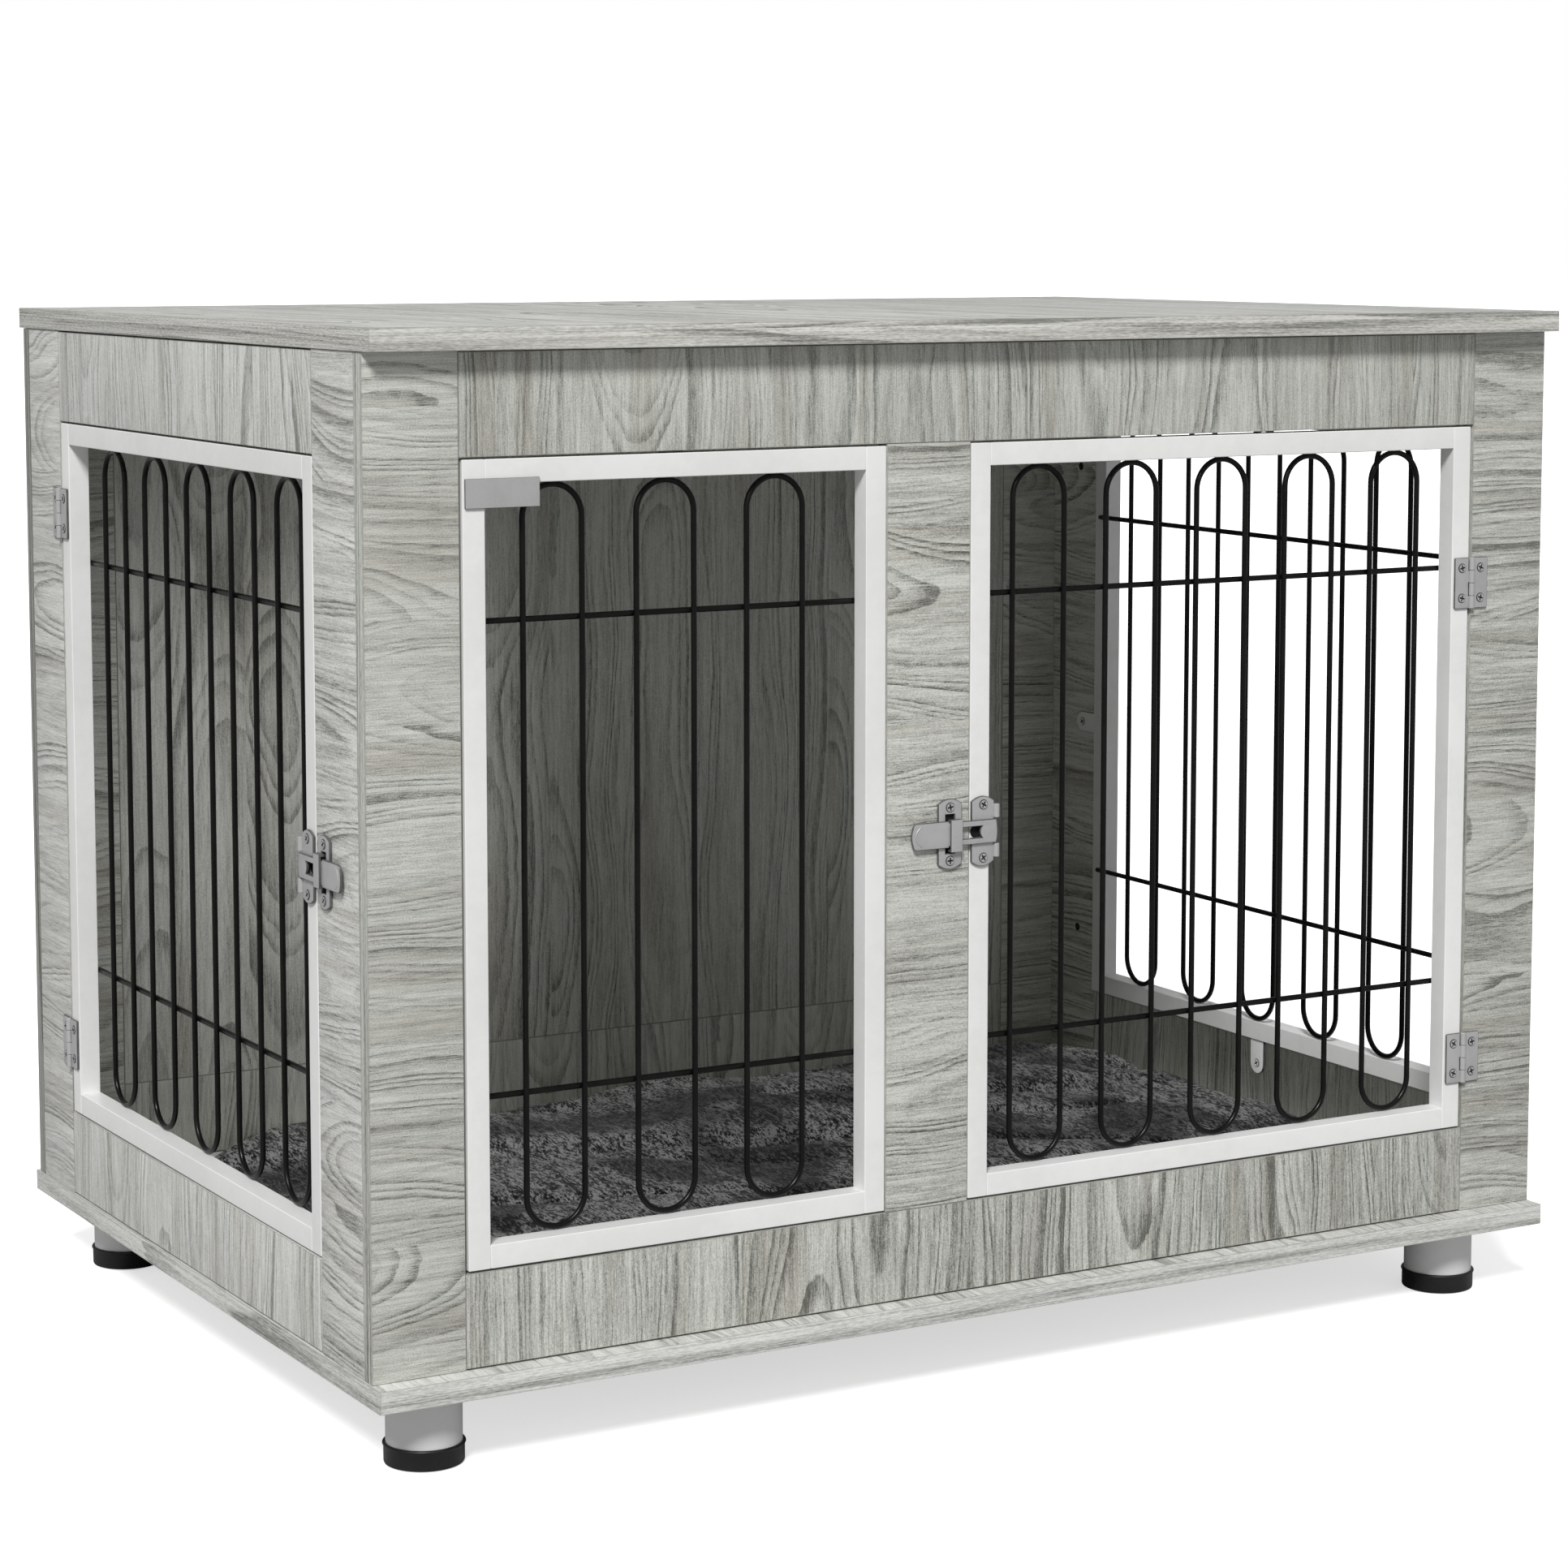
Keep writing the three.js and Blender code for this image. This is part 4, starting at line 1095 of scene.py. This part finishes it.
def makeCushion():
    low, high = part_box("cushion")
    piece = placeNew("cushion_look", padShape(low, high))
    remesh = piece.modifiers.new("remesh", "REMESH")
    remesh.mode = "VOXEL"
    remesh.voxel_size = pad["voxel"]
    applyModifiers(piece)
    swell(piece)
    smooth = piece.modifiers.new("smooth", "SMOOTH")
    smooth.iterations = 3
    finer = piece.modifiers.new("finer", "SUBSURF")
    finer.levels = finer.render_levels = 1
    applyModifiers(piece)
    crumple(piece.data, low, high)
    shadeByAngle(piece.data, 180)
    piece.data.materials.clear()
    piece.data.materials.append(makePlush())
    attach(piece, "cabinet")
    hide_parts("cushion")


makeCushion()
print("stage: cushion made")


# room, light and camera

room = {"floorTone": 0.42, "worldLight": 0.34, "sunTowards": (-0.45, -0.585, 0.675), "sunStrength": 2.9,
        "sunSpread": 14.0, "floorGlow": 0.6, "floorHalf": 40, "floorDrop": 0.0005,
        "fillSize": (0.14, 0.20), "fillSpread": 24.0, "fillStrength": 0.13,
        "fillPlace": (-0.20, -1.15, 0.50), "fillAim": (-0.27, 0.31, 0.32)}


def aimed(name, data, direction, track):
    light = placeNew(name, data)
    light.rotation_mode = "QUATERNION"
    light.rotation_quaternion = direction.to_track_quat(track, "Y")
    return light


def makeRoom():
    world = bpy.data.worlds.new("studio")
    world.use_nodes = True
    tree = world.node_tree
    tree.nodes.clear()
    ray = put(tree, "ShaderNodeLightPath").outputs["Is Camera Ray"]
    light = put(tree, "ShaderNodeBackground", {"Color": (1, 1, 1, 1), "Strength": room["worldLight"]})
    plain = put(tree, "ShaderNodeBackground", {"Color": (1, 1, 1, 1), "Strength": 1.0})
    mix = put(tree, "ShaderNodeMixShader", {0: ray, 1: light.outputs[0], 2: plain.outputs[0]})
    put(tree, "ShaderNodeOutputWorld", {0: mix.outputs[0]})
    bpy.context.scene.world = world
    bm = bmesh.new()
    bmesh.ops.create_grid(bm, x_segments=8, y_segments=8, size=room["floorHalf"])
    floor = placeNew("floor", meshFrom(bm, "floor"))
    floor.location.z = -room["floorDrop"]
    material, tree, shader = newMaterial("floor")
    ray = put(tree, "ShaderNodeLightPath").outputs["Is Camera Ray"]
    tone = room["floorTone"]
    feed(tree, shader, {"Base Color": mixColour(tree, ray, (tone, tone, tone, 1), (1, 1, 1, 1)),
                        "Roughness": 0.9, "Specular IOR Level": 0.0, "Emission Color": (1, 1, 1, 1),
                        "Emission Strength": times(tree, ray, room["floorGlow"])})
    floor.data.materials.append(material)
    sun = bpy.data.lights.new("key", "SUN")
    sun.energy = room["sunStrength"]
    sun.angle = math.radians(room["sunSpread"])
    key = aimed("key", sun, Vector(room["sunTowards"]).normalized(), "Z")
    # the key light leaves out the back wall, the cushion and the right wall apart from its grille frame;
    # the low fill light reaches the back wall and the cushion alone
    inside = bpy.data.collections.new("insideWalls")
    lit = bpy.data.collections.new("fillReceivers")
    for piece in list(bpy.context.scene.objects):
        if piece.type != "MESH" or "foot" in piece.name or piece.name.startswith("right_fixed_frame"):
            continue
        if piece.name.startswith(("right_", "back_", "cushion")):
            inside.objects.link(piece)
        if piece.name.startswith(("back_", "cushion")):
            lit.objects.link(piece)
    key.light_linking.receiver_collection = inside
    for entry in inside.collection_objects:
        entry.light_linking.link_state = "EXCLUDE"
    area = bpy.data.lights.new("fill", "AREA")
    area.shape = "RECTANGLE"
    area.size, area.size_y = room["fillSize"]
    area.spread = math.radians(room["fillSpread"])
    area.energy = room["fillStrength"]
    fill = aimed("fill", area, Vector(room["fillAim"]) - Vector(room["fillPlace"]), "-Z")
    fill.location = room["fillPlace"]
    fill.light_linking.receiver_collection = lit


view = {"place": (-1.40359, -2.48214, 0.79249), "yaw": 29.6695, "pitch": 5.9746, "lens": 88.048,
        "shift": -0.10}


def makeCamera():
    data = bpy.data.cameras.new("camera")
    data.lens = view["lens"]
    data.sensor_width = 36
    data.shift_y = view["shift"]
    camera = placeNew("camera", data)
    camera.location = view["place"]
    camera.rotation_euler = (math.radians(90 - view["pitch"]), 0, math.radians(-view["yaw"]))
    bpy.context.scene.camera = camera


makeRoom()
makeCamera()
bpy.context.scene.view_settings.view_transform = "Standard"

for node, piece in frame["nodes"].items():
    if not piece.data.materials:
        piece.data.materials.append(steel)

print("stage: scene done")
